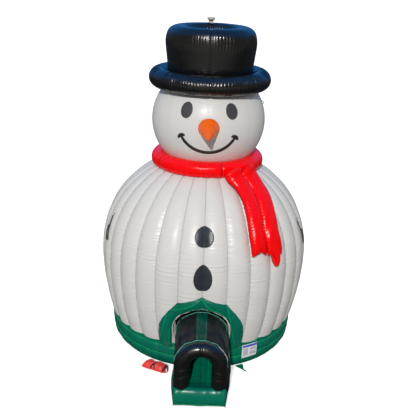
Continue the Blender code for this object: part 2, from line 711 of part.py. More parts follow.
def make_tunnel_roof():
    loops = []
    for y, top_z in VAULT_STATIONS:
        bottom = ramp_top(y) + GAP if y <= RAMP_BACK_Y else BODY_BOTTOM_Z + 0.02
        loops.append(vault_section(y, bottom, top_z, TUNNEL_HALF - 0.002, TUNNEL_SHEET))
    lofted("tunnel_roof", loops, "black_vinyl", 60.0)
    stripe = []
    for y, top_z in VAULT_STATIONS:
        corners = ((-0.1, SKIN_LIFT), (0.1, SKIN_LIFT), (0.1, SKIN), (-0.1, SKIN))
        stripe.append([Vector((TUNNEL_X + u, y, top_z + v)) for u, v in corners])
    lofted("roof_stripe", stripe, "green_vinyl")


# ---- ground pieces ------------------------------------------------------------------------

def make_anchor_tabs():
    """Webbing-backed tabs flat on the ground, each with a narrow tail."""
    start = RING_BOTTOM_RADIUS + 0.02
    half = [(0.085, start), (0.075, start + 0.07), (0.03, start + 0.17), (0.016, start + 0.20),
            (0.014, start + 0.31)]
    outline = half + [(-u, v) for u, v in reversed(half)]
    for place_name, azimuth_degrees in TAB_AZIMUTHS.items():
        azimuth = math.radians(azimuth_degrees)
        out = polar(1.0, azimuth, 0.0)
        side = Vector((math.cos(azimuth), math.sin(azimuth), 0.0))

        def place(u, v, end):
            return out * v + side * u + Vector((0, 0, 0.006 * end))

        origin_at(extruded("anchor_tab_" + place_name, outline, place, "green_vinyl"), out * start)


BAG_SECTION = ((-0.10, 0.0), (0.10, 0.0), (0.135, 0.04), (0.125, 0.10), (0.06, 0.145), (-0.06, 0.145),
               (-0.125, 0.10), (-0.135, 0.04))


def bag_frame():
    azimuth = math.radians(BAG_AZIMUTH)
    middle = polar(BAG_RADIUS, azimuth, 0.0)
    out = polar(1.0, azimuth, 0.0)
    side = Vector((math.cos(azimuth), math.sin(azimuth), 0.0))
    return middle, out, side


def make_sandbag():
    middle, out, side = bag_frame()
    loops = []
    for along, depth, height in ((-0.30, 0.35, 0.30), (-0.27, 0.72, 0.72), (-0.19, 1.0, 1.0),
                                 (0.17, 1.0, 1.0), (0.26, 0.75, 0.75), (0.30, 0.40, 0.35)):
        loops.append([middle + side * along + out * u * depth + Vector((0, 0, v * height))
                      for u, v in BAG_SECTION])
    origin_at(lofted("sandbag", loops, "sandbag_vinyl", 60.0), middle)
    near = [(u * 1.012, v + 0.002) for u, v in BAG_SECTION[2:]]
    far = [(u * 1.06, v + 0.008) for u, v in BAG_SECTION[2:]]
    outline = far + near[::-1]

    def place(u, v, end):
        return middle + side * (-0.03 + 0.05 * end) + out * u + Vector((0, 0, v))

    origin_at(extruded("sandbag_strap", outline, place, "webbing"), middle)


# ---- blower and its sleeve ----------------------------------------------------------------

def volute_outline(inset, duct_extra):
    """Snail outline in (towards the bouncer, up), about the impeller's axis."""
    outline = []
    for degrees in range(VOLUTE_FROM, VOLUTE_TO + 1, VOLUTE_STEP):
        radius = VOLUTE_START + VOLUTE_GROWTH * (degrees - VOLUTE_FROM) / (VOLUTE_TO - VOLUTE_FROM) - inset
        outline.append((radius * math.cos(math.radians(degrees)), radius * math.sin(math.radians(degrees))))
    bottom = outline[-1][1]
    outline += [(DUCT_REACH + duct_extra, bottom), (DUCT_REACH + duct_extra, DUCT_TOP - inset)]
    return outline


BLOWER_Y = ENTRANCE_REACH - max(-u for u, v in volute_outline(0.0, 0.0))
DUCT_MOUTH_Y = BLOWER_Y - DUCT_REACH
DUCT_BOTTOM = -(VOLUTE_START + VOLUTE_GROWTH)


def blower_prism(name, outline, x_from, x_to, slot="housing_plastic"):
    def place(u, v, end):
        return Vector((BLOWER_X + (x_to if end else x_from), BLOWER_Y - u, BLOWER_Z + v))
    return extruded(name, outline, place, slot, 30.0)


def make_blower_housing():
    centre = (BLOWER_X, BLOWER_Y, BLOWER_Z)
    half = BLOWER_WIDTH / 2
    for name, sign in (("blower_housing_left", -1), ("blower_housing_right", 1)):
        shell = blower_prism(name, volute_outline(0.0, 0.0), sign * GAP / 2, sign * half)
        hollow = blower_prism("guide_hollow_" + name, volute_outline(BLOWER_SHEET, 0.05), -sign * 0.01,
                              sign * (half - BLOWER_SHEET))
        boolean(shell, hollow, "DIFFERENCE")
        bore = turned("guide_intake_" + name, [(0.0, sign * 0.05), (INTAKE_RADIUS, sign * 0.05),
                                               (INTAKE_RADIUS, sign * 0.2), (0.0, sign * 0.2)],
                      20, "housing_plastic", centre=centre, axis_x=True)
        boolean(shell, bore, "DIFFERENCE")


def make_intake_grilles():
    centre = (BLOWER_X, BLOWER_Y, BLOWER_Z)
    half = BLOWER_WIDTH / 2
    for name, sign in (("intake_grille_left", -1), ("intake_grille_right", 1)):
        near, far = sign * (half + GAP), sign * (half + 0.006)
        rim = [(0.0, near), (INTAKE_RADIUS + 0.016, near), (INTAKE_RADIUS + 0.012, far), (0.0, far)]
        disc = turned(name, rim, 14, "dark_plastic", centre=centre, axis_x=True)
        bm = bmesh.new()
        for row in range(-2, 3):
            reach = math.sqrt(0.088 ** 2 - (row * 0.034) ** 2)
            made = bmesh.ops.create_cube(bm, size=1.0)["verts"]
            for vert in made:
                vert.co = Vector(centre) + Vector((sign * half + vert.co.x * 0.04, vert.co.y * 2 * reach,
                                                   row * 0.034 + vert.co.z * 0.020))
        boolean(disc, add_object("guide_slots_" + name, bm, "dark_plastic"), "DIFFERENCE")


def make_impeller_and_motor():
    centre = (BLOWER_X, BLOWER_Y, BLOWER_Z)
    web = [(0.0, -0.012), (0.03, -0.012), (0.032, -0.003), (IMPELLER_RADIUS - 0.002, -0.003),
           (IMPELLER_RADIUS - 0.002, 0.003), (0.032, 0.003), (0.03, 0.008), (0.0, 0.008)]
    impeller = origin_at(turned("impeller", web, 24, "fan_plastic", centre=centre, axis_x=True), centre)
    bm = bmesh.new()
    for blade in range(BLADES):
        made = bmesh.ops.create_cube(bm, size=1.0)["verts"]
        turn = Matrix.Rotation(math.tau * blade / BLADES, 3, "X")
        for vert in made:
            radial = 0.066 + (vert.co.z + 0.5) * (IMPELLER_RADIUS - 0.066)
            sweep = vert.co.y * 0.004 + (vert.co.z + 0.5) * 0.02
            vert.co = Vector(centre) + turn @ Vector((vert.co.x * 0.16, sweep, radial))
    boolean(impeller, add_object("guide_blades", bm, "fan_plastic"), "UNION")
    motor = [(0.0, 0.010), (0.012, 0.010), (0.016, 0.018), (MOTOR_RADIUS, 0.024), (MOTOR_RADIUS, 0.106),
             (0.035, 0.112), (0.0, 0.112)]
    turned("blower_motor", motor, 16, "motor_metal", centre=centre, axis_x=True)


def make_blower_fittings():
    top = BLOWER_Z + 0.185
    handle = [(-0.105, top), (-0.10, top + 0.055), (-0.075, top + 0.075), (0.075, top + 0.075),
              (0.10, top + 0.055), (0.105, top)]
    route = [Vector((BLOWER_X, BLOWER_Y - u, v)) for u, v in handle]
    curve_tube("blower_handle", route, 0.011, "dark_plastic")
    foot_top = BLOWER_Z + DUCT_BOTTOM - GAP
    outline = [(-0.13, 0.0), (-0.08, 0.0), (-0.08, 0.02), (0.08, 0.02), (0.08, 0.0), (0.13, 0.0),
               (0.13, foot_top), (-0.13, foot_top)]

    def place(u, v, end):
        return Vector((BLOWER_X + u, BLOWER_Y + (0.17 if end else -0.235), v))

    extruded("blower_stand", outline, place, "dark_plastic")


SWITCH_BOX_LOW = Vector((BLOWER_X - BLOWER_WIDTH / 2 - 0.036, BLOWER_Y - 0.235, 0.07))
SWITCH_BOX_HIGH = Vector((BLOWER_X - BLOWER_WIDTH / 2 - GAP, BLOWER_Y - 0.125, 0.16))
SWITCH_PIVOT = Vector((SWITCH_BOX_LOW.x + 0.003, BLOWER_Y - 0.19, 0.115))


def make_switch():
    case = box("switch_box", SWITCH_BOX_LOW, SWITCH_BOX_HIGH, "dark_plastic")
    pocket = box("guide_switch_pocket", SWITCH_PIVOT - Vector((0.02, 0.0095, 0.0155)),
                 SWITCH_PIVOT + Vector((0.010, 0.0095, 0.0155)), "dark_plastic")
    boolean(case, pocket, "DIFFERENCE")
    tilt = Matrix.Rotation(math.radians(SWITCH_TILT), 3, "Y")
    section = [(0.006, -0.004), (0.006, 0.004), (-0.002, 0.0125), (-0.005, 0.0125), (-0.0045, 0.0),
               (-0.005, -0.0125), (-0.002, -0.0125)]

    def place(u, v, end):
        return SWITCH_PIVOT + tilt @ Vector((u, 0.008 if end else -0.008, v))

    origin_at(extruded("rocker_switch", section, place, "switch_red"), SWITCH_PIVOT)
    gland = [(0.0045, 0.0), (0.013, 0.0), (0.013, 0.008), (0.009, 0.012), (0.007, 0.026), (0.0045, 0.026)]
    x = (SWITCH_BOX_LOW.x + SWITCH_BOX_HIGH.x) / 2
    turned("cord_gland", gland, 12, "dark_plastic", centre=(x, BLOWER_Y - 0.165, SWITCH_BOX_HIGH.z + GAP))


def sleeve_loop(y, z, half_width, half_height, square):
    """A rounded section of the sleeve; square near 1 is boxy and 0 is round."""
    points = []
    for k in range(12):
        angle = math.tau * (k + 0.5) / 12
        power = 1.0 - 0.55 * square
        across = math.copysign(abs(math.cos(angle)) ** power, math.cos(angle))
        upward = math.copysign(abs(math.sin(angle)) ** power, math.sin(angle))
        points.append(Vector((BLOWER_X + half_width * across, y, z + half_height * upward)))
    return points


def make_sleeve():
    duct_z = BLOWER_Z + (DUCT_BOTTOM + DUCT_TOP) / 2
    end_y = DUCT_MOUTH_Y + 0.09
    stations = ((SLEEVE_START_Y, 0.25, 0.17, 0.165, 0.0), (2.25, 0.21, 0.165, 0.15, 0.1),
                (2.50, 0.165, 0.16, 0.13, 0.4), (DUCT_MOUTH_Y - 0.05, duct_z, 0.155, 0.112, 0.8),
                (DUCT_MOUTH_Y - 0.02, duct_z, 0.152, 0.111, 0.8), (end_y, duct_z, 0.152, 0.111, 0.8))
    inset = SLEEVE_SHEET
    outside = [sleeve_loop(*station) for station in stations]
    inside = [sleeve_loop(y, z, w - inset, h - inset, s) for y, z, w, h, s in stations]
    lofted("inflation_sleeve", outside + inside[::-1], "sleeve_fabric", 60.0, capped=False)
    inner, outer = (0.154, 0.113), (0.159, 0.118)
    band = [sleeve_loop(end_y - back, duct_z, *half_size, 0.8)
            for back, half_size in ((0.06, inner), (0.06, outer), (0.02, outer), (0.02, inner))]
    lofted("sleeve_strap", band, "webbing", 60.0, capped=False)


# ---- deflation zipper ---------------------------------------------------------------------

def facet_radius(column, z):
    """Radius of the flat facet at a fractional column, between the curve's points."""
    curve = body_curve()
    low, high = next((a, b) for a, b in zip(curve, curve[1:]) if a[1] <= z <= b[1])
    crest = low[0] + (high[0] - low[0]) * (z - low[1]) / (high[1] - low[1])
    share = column - math.floor(column)
    left = polar(crest * gore_share(math.floor(column)), math.floor(column) * COLUMN, z)
    right = polar(crest * gore_share(math.ceil(column)), math.ceil(column) * COLUMN, z)
    return left.lerp(right, share)


def make_zipper():
    low, high = facet_radius(ZIPPER_COLUMN, ZIPPER_LOW_Z), facet_radius(ZIPPER_COLUMN, ZIPPER_HIGH_Z)
    azimuth = math.atan2(low.x, -low.y)
    outline = [(-0.025, ZIPPER_LOW_Z), (0.025, ZIPPER_LOW_Z), (0.025, ZIPPER_HIGH_Z), (-0.025, ZIPPER_HIGH_Z)]
    body_patch("zipper_tape", math.degrees(azimuth), outline, "zipper_tape")
    along = (high - low).normalized()
    gore = math.floor(ZIPPER_COLUMN)
    across = (polar(gore_share(gore + 1), (gore + 1) * COLUMN, 0) - polar(gore_share(gore), gore * COLUMN, 0))
    across = across.normalized()
    outward = along.cross(across).normalized()
    if outward.dot(low) < 0:
        outward = -outward
    start = low + along * 0.03 + outward * (SKIN_LIFT + SKIN + 0.003)
    loops = []
    layers = ((0.0, 0.022, 0.011), (0.008, 0.022, 0.011), (0.016, 0.010, 0.006))
    for height, half_length, half_width in layers:
        corners = ((-1, -1), (1, -1), (1, 1), (-1, 1))
        loops.append([start + outward * height + along * half_length * a + across * half_width * b
                      for a, b in corners])
    origin_at(lofted("zipper_slider", loops, "steel"), start)


def build():
    clear_scene()
    make_base_ring()
    make_bounce_floor()
    make_body_walls()
    make_ceiling()
    make_doorway()
    make_head()
    make_face()
    make_hat()
    make_vent()
    make_collar()
    make_scarf_tails()
    make_buttons()
    make_label()
    make_tethers()
    make_head_loop()
    make_ramp()
    make_entrance_arch()
    make_tunnel_roof()
    make_anchor_tabs()
    make_sandbag()
    make_blower_housing()
    make_intake_grilles()
    make_impeller_and_motor()
    make_blower_fittings()
    make_switch()
    make_sleeve()
    make_zipper()


build()
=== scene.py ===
"""The looks of the snowman bounce house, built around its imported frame.

Metres, +Z up. The front faces -Y. Azimuths are measured from the front, positive towards +X.
"""
import json
import math

import bpy
import numpy as np
from mathutils import Matrix, Vector


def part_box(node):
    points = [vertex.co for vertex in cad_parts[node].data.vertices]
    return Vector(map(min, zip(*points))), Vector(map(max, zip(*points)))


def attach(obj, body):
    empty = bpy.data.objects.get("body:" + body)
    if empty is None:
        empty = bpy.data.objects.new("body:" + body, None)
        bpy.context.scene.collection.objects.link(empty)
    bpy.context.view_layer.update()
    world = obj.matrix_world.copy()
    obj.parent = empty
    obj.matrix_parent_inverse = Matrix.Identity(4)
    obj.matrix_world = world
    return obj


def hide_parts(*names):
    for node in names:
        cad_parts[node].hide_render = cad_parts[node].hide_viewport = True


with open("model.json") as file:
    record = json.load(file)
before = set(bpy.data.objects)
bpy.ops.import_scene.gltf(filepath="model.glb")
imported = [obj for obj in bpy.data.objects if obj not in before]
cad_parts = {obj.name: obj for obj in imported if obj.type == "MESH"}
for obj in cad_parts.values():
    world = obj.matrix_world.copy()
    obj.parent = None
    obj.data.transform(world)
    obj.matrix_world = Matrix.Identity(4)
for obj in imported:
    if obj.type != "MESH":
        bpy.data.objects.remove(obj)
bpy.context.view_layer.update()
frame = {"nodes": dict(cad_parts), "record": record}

# ---- sizes, from the frame where it has them ------------

SECTIONS = {"body_wall_front": (-3, 3), "body_wall_right_front": (3, 8), "body_wall_right_rear": (8, 14),
            "body_wall_left_rear": (14, 20), "body_wall_left_front": (20, 25)}    # first and last seam
GORES = 28
GORE = math.tau / GORES
WALL = 0.085

BODY_RADIUS = max(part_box(wall)[1].x for wall in SECTIONS) / math.cos(GORE / 2)
BODY_BOTTOM_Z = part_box("body_wall_front")[0].z
BODY_WAIST_Z = 2.03
BODY_UPPER = (2.22, 2.15)            # height above the waist, superellipse power
BODY_LOWER_HEIGHT = 3.33
NECK_RADIUS = 0.985

HEAD_Z = 5.0
HEAD_HEIGHT = 1.15
HEAD_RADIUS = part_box("head_envelope")[1].x
EYE_Z = 5.385
CAP_SEAM_Z = 5.665                   # where the head's side panels meet its cap

DOOR_OUTER = ((0.86, 0.50), (0.885, 0.84), (0.87, 1.07), (0.81, 1.24), (0.69, 1.455),
              (0.50, 1.666), (0.0, 1.842))
DOOR_INNER = ((0.605, 0.50), (0.612, 0.84), (0.61, 1.10), (0.565, 1.24), (0.445, 1.40),
              (0.25, 1.53), (0.0, 1.576))

ramp_low, ramp_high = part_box("entrance_ramp")
TUNNEL_X = (ramp_low.x + ramp_high.x) / 2
TUNNEL_HALF = (ramp_high.x - ramp_low.x) / 2
TUNNEL_BACK_Y = -1.93

# ---- camera ------------

CAMERA_PLACE = (-0.060, -15.0, 8.341)
CAMERA_YAW, CAMERA_PITCH, CAMERA_ROLL = 0.48, -19.80, 2.24     # degrees
CAMERA_LENS = 61.07
def make_camera():
    data = bpy.data.cameras.new("camera")
    data.lens = CAMERA_LENS
    data.sensor_width = 36.0
    data.clip_end = 400.0
    camera = bpy.data.objects.new("camera", data)
    turn = (Matrix.Rotation(math.radians(-CAMERA_YAW), 4, "Z")
            @ Matrix.Rotation(math.radians(90 + CAMERA_PITCH), 4, "X")
            @ Matrix.Rotation(math.radians(CAMERA_ROLL), 4, "Z"))
    camera.matrix_world = Matrix.Translation(CAMERA_PLACE) @ turn
    bpy.context.scene.collection.objects.link(camera)
    bpy.context.scene.camera = camera


make_camera()

# ---- materials ------------

def new_material(name):
    made = bpy.data.materials.new(name)
    made.use_nodes = True
    return made, made.node_tree.nodes


def fill(node, **inputs):
    """Fill a node's inputs, each with a constant or another node's output. _ stands for a space."""
    for name, value in inputs.items():
        socket = node.inputs[name.replace("_", " ")]
        if isinstance(value, bpy.types.NodeSocket):
            node.id_data.links.new(value, socket)
        else:
            socket.default_value = value


def add_node(nodes, kind, settings=(), **inputs):
    made = nodes.new("ShaderNode" + kind)
    for name, value in dict(settings).items():
        setattr(made, name, value)
    fill(made, **inputs)
    return made


def noise(nodes, scale, detail, distortion=0.0):
    """A noise value, in the object's own metres."""
    place = add_node(nodes, "TexCoord").outputs["Object"]
    return add_node(nodes, "TexNoise", Vector=place, Scale=scale, Detail=detail,
                    Distortion=distortion).outputs["Fac"]


def mapped(nodes, value, low, high, source=(0.3, 0.7)):
    return add_node(nodes, "MapRange", Value=value, From_Min=source[0], From_Max=source[1],
                    To_Min=low, To_Max=high).outputs["Result"]


def mixed(nodes, share, first, second):
    """Mix two colours by a value; each is a colour or a socket."""
    mix = add_node(nodes, "Mix", {"data_type": "RGBA"}, Factor=share)
    for socket, colour in zip(mix.inputs[6:8], (first, second)):
        if isinstance(colour, tuple):
            socket.default_value = (*colour, 1.0)
        else:
            mix.id_data.links.new(colour, socket)
    return mix.outputs[2]


def shaded(colour, share):
    return tuple(channel * share for channel in colour)


def weave_height(nodes, pitch):
    """Height of a plain weave of that pitch, from crossed bands."""
    place = add_node(nodes, "TexCoord").outputs["Object"]
    bands = [add_node(nodes, "TexWave", {"bands_direction": axis}, Vector=place, Scale=0.314 / pitch,
                      Distortion=0.6, Detail=1.0).outputs["Fac"] for axis in ("X", "Z")]
    crossed = nodes.new("ShaderNodeMath")
    crossed.operation = "MULTIPLY"
    for socket, band in zip(crossed.inputs, bands):
        crossed.id_data.links.new(band, socket)
    return crossed.outputs["Value"]


def bumped(nodes, layers):
    """Bump nodes one after another; each layer is (height, strength, distance)."""
    below = {}
    for height, strength, distance in layers:
        bump = add_node(nodes, "Bump", Height=height, Strength=strength, Distance=distance, **below)
        below = {"Normal": bump.outputs["Normal"]}
    return below["Normal"]


def fabric(name, colour, roughness, mottle, crease, ior=1.5, weave=0.004, weave_strength=0.15,
           sheen=0.0, seam=None, grime=None):
    """Coated or woven sheet: mottled colour, uneven gloss, soft creases and a weave.

    seam is the colour along sewn lines, where the mesh says how near it is to one.
    """
    made, nodes = new_material(name)
    tone = mixed(nodes, mapped(nodes, noise(nodes, 1.3, 4.0), 0.0, 1.0),
                 shaded(colour, 1.0 - mottle), shaded(colour, 1.0 + mottle))
    if grime:
        dirt = noise(nodes, 5.0, 6.0, distortion=0.5)
        tone = mixed(nodes, mapped(nodes, dirt, 0.0, 0.35, (0.55, 0.8)), tone, grime)
    if seam:
        line = add_node(nodes, "Attribute", {"attribute_name": "seam"}).outputs["Fac"]
        tone = mixed(nodes, line, tone, seam)
    gloss = mapped(nodes, noise(nodes, 7.0, 5.0), roughness * 0.8, roughness * 1.25)
    normal = bumped(nodes, ((noise(nodes, 6.0, 2.0, distortion=0.6), crease, 0.006),
                            (weave_height(nodes, weave), weave_strength, 0.001)))
    fill(nodes["Principled BSDF"], IOR=ior, Sheen_Weight=sheen, Base_Color=tone, Roughness=gloss,
         Normal=normal)
    return made


def plastic(name, colour, roughness, metallic=0.0, grain=90.0):
    """Moulded plastic or metal: fine grain, faint smudges and edge wear."""
    made, nodes = new_material(name)
    smudge = noise(nodes, 14.0, 5.0)
    tone = mixed(nodes, mapped(nodes, smudge, 0.0, 1.0), shaded(colour, 0.88), colour)
    geometry = nodes.new("ShaderNodeNewGeometry")
    edge = mapped(nodes, geometry.outputs["Pointiness"], 0.0, 0.25, (0.52, 0.60))
    worn = tuple(min(1.0, channel * 1.5 + 0.08) for channel in colour)
    fill(nodes["Principled BSDF"], Metallic=metallic, Base_Color=mixed(nodes, edge, tone, worn),
         Roughness=mapped(nodes, smudge, roughness * 0.8, roughness * 1.3),
         Normal=bumped(nodes, ((noise(nodes, grain, 2.0), 0.12, 0.001),)))
    return made


WHITE = (0.66, 0.655, 0.64)
GREEN = (0.0, 0.148, 0.090)
BRIGHT_GREEN = (0.0, 0.36, 0.12)
MINT = (0.10, 0.46, 0.34)
BLACK = (0.0045, 0.0042, 0.004)
RED = (0.90, 0.0, 0.0015)

FABRICS = {                          # colour, roughness, mottle, crease and the rest
    # the white vinyl's grey seam colour is partly dirt, partly painted shade in the seams' grooves
    "white_vinyl": (WHITE, 0.34, 0.006, 0.04, dict(ior=1.4, seam=(0.42, 0.41, 0.41))),
    "green_vinyl": (GREEN, 0.27, 0.10, 0.07, dict(ior=1.38, seam=BRIGHT_GREEN, grime=(0.0, 0.165, 0.110))),
    "black_vinyl": (BLACK, 0.27, 0.15, 0.05, dict(ior=1.62, seam=(0.002, 0.002, 0.002))),
    "red_vinyl": (RED, 0.22, 0.04, 0.06, dict(ior=1.33, seam=(0.40, 0.0, 0.002))),
    "orange_vinyl": ((0.90, 0.135, 0.004), 0.28, 0.07, 0.06, dict(ior=1.38, seam=(0.62, 0.09, 0.01))),
    "charcoal_vinyl": ((0.052, 0.051, 0.054), 0.42, 0.12, 0.08, dict(ior=1.4)),
    "webbing": ((0.012, 0.012, 0.013), 0.75, 0.2, 0.1, dict(weave=0.003, weave_strength=0.8, sheen=0.2)),
    "rope": ((0.013, 0.013, 0.014), 0.8, 0.25, 0.1, dict(weave=0.002, weave_strength=0.7, sheen=0.3)),
    "vent_fabric": ((0.44, 0.42, 0.36), 0.7, 0.15, 0.5, dict(weave=0.003, weave_strength=0.5, sheen=0.2)),
    "sandbag_vinyl": ((0.86, 0.06, 0.065), 0.38, 0.15, 0.3, dict(ior=1.4, grime=(0.55, 0.25, 0.20))),
    "sleeve_fabric": ((0.0, 0.10, 0.055), 0.55, 0.1, 0.5, dict(weave=0.003, weave_strength=0.4, sheen=0.1)),
    "label_vinyl": ((0.72, 0.74, 0.80), 0.4, 0.03, 0.2, {}),
    "zipper_tape": ((0.05, 0.05, 0.052), 0.75, 0.15, 0.1, dict(weave=0.003, weave_strength=0.8)),
}
PLASTICS = {
    "steel": ((0.62, 0.62, 0.63), 0.25, dict(metallic=1.0, grain=160.0)),
    "housing_plastic": ((0.80, 0.27, 0.02), 0.42, {}),
    "dark_plastic": ((0.022, 0.022, 0.024), 0.45, {}),
    "fan_plastic": ((0.05, 0.05, 0.052), 0.4, {}),
    "motor_metal": ((0.36, 0.36, 0.37), 0.42, dict(metallic=1.0)),
    "switch_red": ((0.55, 0.01, 0.01), 0.25, {}),
}
SHADE_LOOKS = {                      # shades of the slots' own cloths, and the painted shade of the ramp's stitch holes
    "seam_green": (BRIGHT_GREEN, 0.35, 0.15, 0.2, {}),
    "piping_mint": (MINT, 0.4, 0.15, 0.2, {}),
    "band_blue": ((0.05, 0.09, 0.50), 0.4, 0.05, 0.1, {}),
    "block_grey": ((0.45, 0.46, 0.50), 0.45, 0.08, 0.1, {}),
    "spot_pale": ((0.80, 0.62, 0.60), 0.4, 0.1, 0.1, {}),
    "smile_dark": ((0.026, 0.022, 0.019), 0.45, 0.15, 0.08, dict(ior=1.4)),
    "button_slate": ((0.026, 0.031, 0.038), 0.34, 0.25, 0.05, dict(ior=1.42)),
    "stripe_green": ((0.0, 0.050, 0.036), 0.2, 0.4, 0.1, dict(ior=1.4, seam=(0.0, 0.16, 0.09))),
    "roof_black": ((0.0065, 0.0065, 0.0062), 0.36, 0.4, 0.2, dict(ior=1.36)),
    "rope_end": ((0.30, 0.19, 0.10), 0.6, 0.2, 0.3, {}),
    # painted shade: near-black marks standing for the shadow inside the ramp's stitch holes
    "hole_dark": ((0.0, 0.012, 0.008), 0.8, 0.2, 0.1, {}),
}


def make_looks(make, table):
    return {name: make(name, *look, **rest) for name, (*look, rest) in table.items()}


MATERIALS = make_looks(fabric, FABRICS) | make_looks(plastic, PLASTICS)
SHADES = make_looks(fabric, SHADE_LOOKS)

# ---- mesh helpers ------------

def grid_quads(rows, columns, close_columns=False, close_rows=False):
    """Quads of a grid. With rows upwards and columns anticlockwise from above, they face out."""
    row = np.arange(rows if close_rows else rows - 1)[:, None]
    column = np.arange(columns if close_columns else columns - 1)[None, :]
    after_row, after_column = (row + 1) % rows, (column + 1) % columns
    loop = (row * columns + column, row * columns + after_column,
            after_row * columns + after_column, after_row * columns + column)
    return np.stack(loop, -1).reshape(-1, 4)


def add_piece(name, points, quads, slot, body="bouncer", shade=None, replaces=(), seam=None, sharp=None):
    """Make a mesh piece from arrays, put its material on it and let it ride on a body."""
    points = np.asarray(points, np.float32).reshape(-1, 3)
    quads = np.asarray(quads, np.int32)
    mesh = bpy.data.meshes.new(name)
    mesh.vertices.add(len(points))
    mesh.vertices.foreach_set("co", points.ravel())
    mesh.loops.add(quads.size)
    mesh.loops.foreach_set("vertex_index", quads.ravel())
    mesh.polygons.add(len(quads))
    mesh.polygons.foreach_set("loop_start", np.arange(0, quads.size, quads.shape[1], dtype=np.int32))
    mesh.update(calc_edges=True)
    mesh.validate()
    mesh.shade_smooth()
    if sharp:
        mesh.set_sharp_from_angle(angle=math.radians(sharp))
    if seam is not None:
        line = mesh.attributes.new("seam", "FLOAT", "POINT")
        line.data.foreach_set("value", np.asarray(seam, np.float32).ravel())
    mesh.materials.append(SHADES[shade] if shade else MATERIALS[slot])
    piece = bpy.data.objects.new(name, mesh)
    bpy.context.scene.collection.objects.link(piece)
    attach(piece, body)
    if replaces:
        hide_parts(*replaces)
    return piece


def add_grid(name, points, slot, wrap=False, close_rows=False, flip=False, **rest):
    """A piece from a grid of points. wrap joins its last column to its first, flip turns its faces."""
    quads = grid_quads(*points.shape[:2], wrap, close_rows)
    return add_piece(name, points, quads[:, ::-1] if flip else quads, slot, **rest)


def add_cut(name, points, quads, dropped, slot, **rest):
    """A piece without its dropped faces, and without the points that only they used."""
    used, kept = np.unique(quads[~dropped], return_inverse=True)
    if "seam" in rest:
        rest["seam"] = rest["seam"].ravel()[used]
    return add_piece(name, points.reshape(-1, 3)[used], kept.reshape(-1, 4), slot, **rest)


def thicken(piece, thickness, offset):
    made = piece.modifiers.new("thickness", "SOLIDIFY")
    made.thickness, made.offset = thickness, offset


def ripple(along, seed, low, high, terms=9):
    """An uneven wave of about unit height, from sines of low to high cycles per metre."""
    random = np.random.default_rng(seed)
    frequencies = random.uniform(low, high, terms)
    phases = random.uniform(0, math.tau, terms)
    total = sum(np.sin(math.tau * f * along + p) for f, p in zip(frequencies, phases))
    return total / math.sqrt(terms)


def bell(distance, width):
    """One at no distance, fading smoothly over a width."""
    return np.exp(-(distance / width) ** 2)


def loop_angles(count):
    return np.arange(count) * math.tau / count


def unit(vectors):
    """The same directions with length one."""
    return vectors / np.linalg.norm(vectors, axis=-1, keepdims=True)


def across_and_out(azimuth):
    """The sideways and the outward direction at an azimuth."""
    return (np.array((math.cos(azimuth), math.sin(azimuth), 0.0)),
            np.array((math.sin(azimuth), -math.cos(azimuth), 0.0)))


def bunched(count):
    """Places from -1 to 1, closer together near both."""
    return np.sin(np.linspace(-math.pi / 2, math.pi / 2, count))


def mirrored(half, sign=1):
    """A row of values and its mirror image, about its last value; sign=-1 also negates the image."""
    return np.array([*half, *[sign * value for value in half[-2::-1]]])


def signed_power(value, power):
    return np.sign(value) * np.abs(value) ** power


def xyz(x, y, z):
    """Points from coordinates that broadcast together, stacked on the last axis."""
    return np.stack(np.broadcast_arrays(x, y, z), -1)


def polar(radius, azimuth, z):
    """Points at azimuths measured from the front, stacked on the last axis."""
    return xyz(radius * np.sin(azimuth), -radius * np.cos(azimuth), z)


def smooth_route(points, samples):
    """Points on a Catmull-Rom curve through the route's own points."""
    points = [np.asarray(point, float) for point in points]
    padded = [2 * points[0] - points[1], *points, 2 * points[-1] - points[-2]]
    route = []
    for before, a, b, after in zip(padded, padded[1:], padded[2:], padded[3:]):
        for step in range(samples):
            t = step / samples
            route.append(0.5 * (2 * a + (b - before) * t + (2 * before - 5 * a + 4 * b - after) * t ** 2
                                + (3 * a - before - 3 * b + after) * t ** 3))
    return np.array(route + [points[-1]])


def run_along(points):
    """The distance along a line at each of its points."""
    return np.concatenate([[0], np.cumsum(np.linalg.norm(np.diff(points, axis=0), axis=1))])


def sampled(places, run, values):
    """The rows of values along a line, at other places along it."""
    return np.stack([np.interp(places, run, column) for column in values.T], -1)


def even_curve(points, spacing):
    """The same line with points at an even spacing, and the distance along it at each."""
    points = np.asarray(points, float)
    run = run_along(points)
    along = np.linspace(0, run[-1], max(2, round(run[-1] / spacing) + 1))
    return sampled(along, run, points), along


def frames_along(points, first_side):
    """A side and a normal at each point of a line, kept steady from the first side."""
    ahead = unit(np.gradient(np.asarray(points, float), axis=0))
    side, sides = np.asarray(first_side, float), []
    for direction in ahead:
        side = unit(side - direction * (side @ direction))
        sides.append(side)
    return np.array(sides), np.cross(ahead, sides)


def rings_round(path, sides, normals, radius, around):
    """Rings of points round a line. radius has a row for each point and one or all of the columns."""
    angle = loop_angles(around)[None, :, None]
    return path[:, None, :] + radius[..., None] * (np.cos(angle) * sides[:, None, :]
                                                   + np.sin(angle) * normals[:, None, :])


def with_ends(rings, first, last):
    """Close a tube of rings with a point at each end."""
    end_rows = [np.broadcast_to(end, (1, *rings.shape[1:])) for end in (first, last)]
    return np.concatenate([end_rows[0], rings, end_rows[1]])


def tube(name, points, first_side, radius, slot, around=8, **rest):
    """A closed round tube: its ends are drawn in to a point."""
    points = np.asarray(points, float)
    radius = np.pad(np.broadcast_to(np.asarray(radius, float), (len(points),)), 1, constant_values=1e-5)
    frame_rows = [np.pad(rows, ((1, 1), (0, 0)), "edge") for rows in frames_along(points, first_side)]
    points = np.concatenate([points[:1], points, points[-1:]])
    return add_grid(name, rings_round(points, *frame_rows, radius[:, None], around), slot, wrap=True,
                    flip=True, **rest)


def green_seam(name, points, first_side, radius, shade="seam_green", **rest):
    """A raised sewn line or piping on the green cloth."""
    return tube(name, points, first_side, radius, "green_vinyl", around=6, shade=shade, **rest)


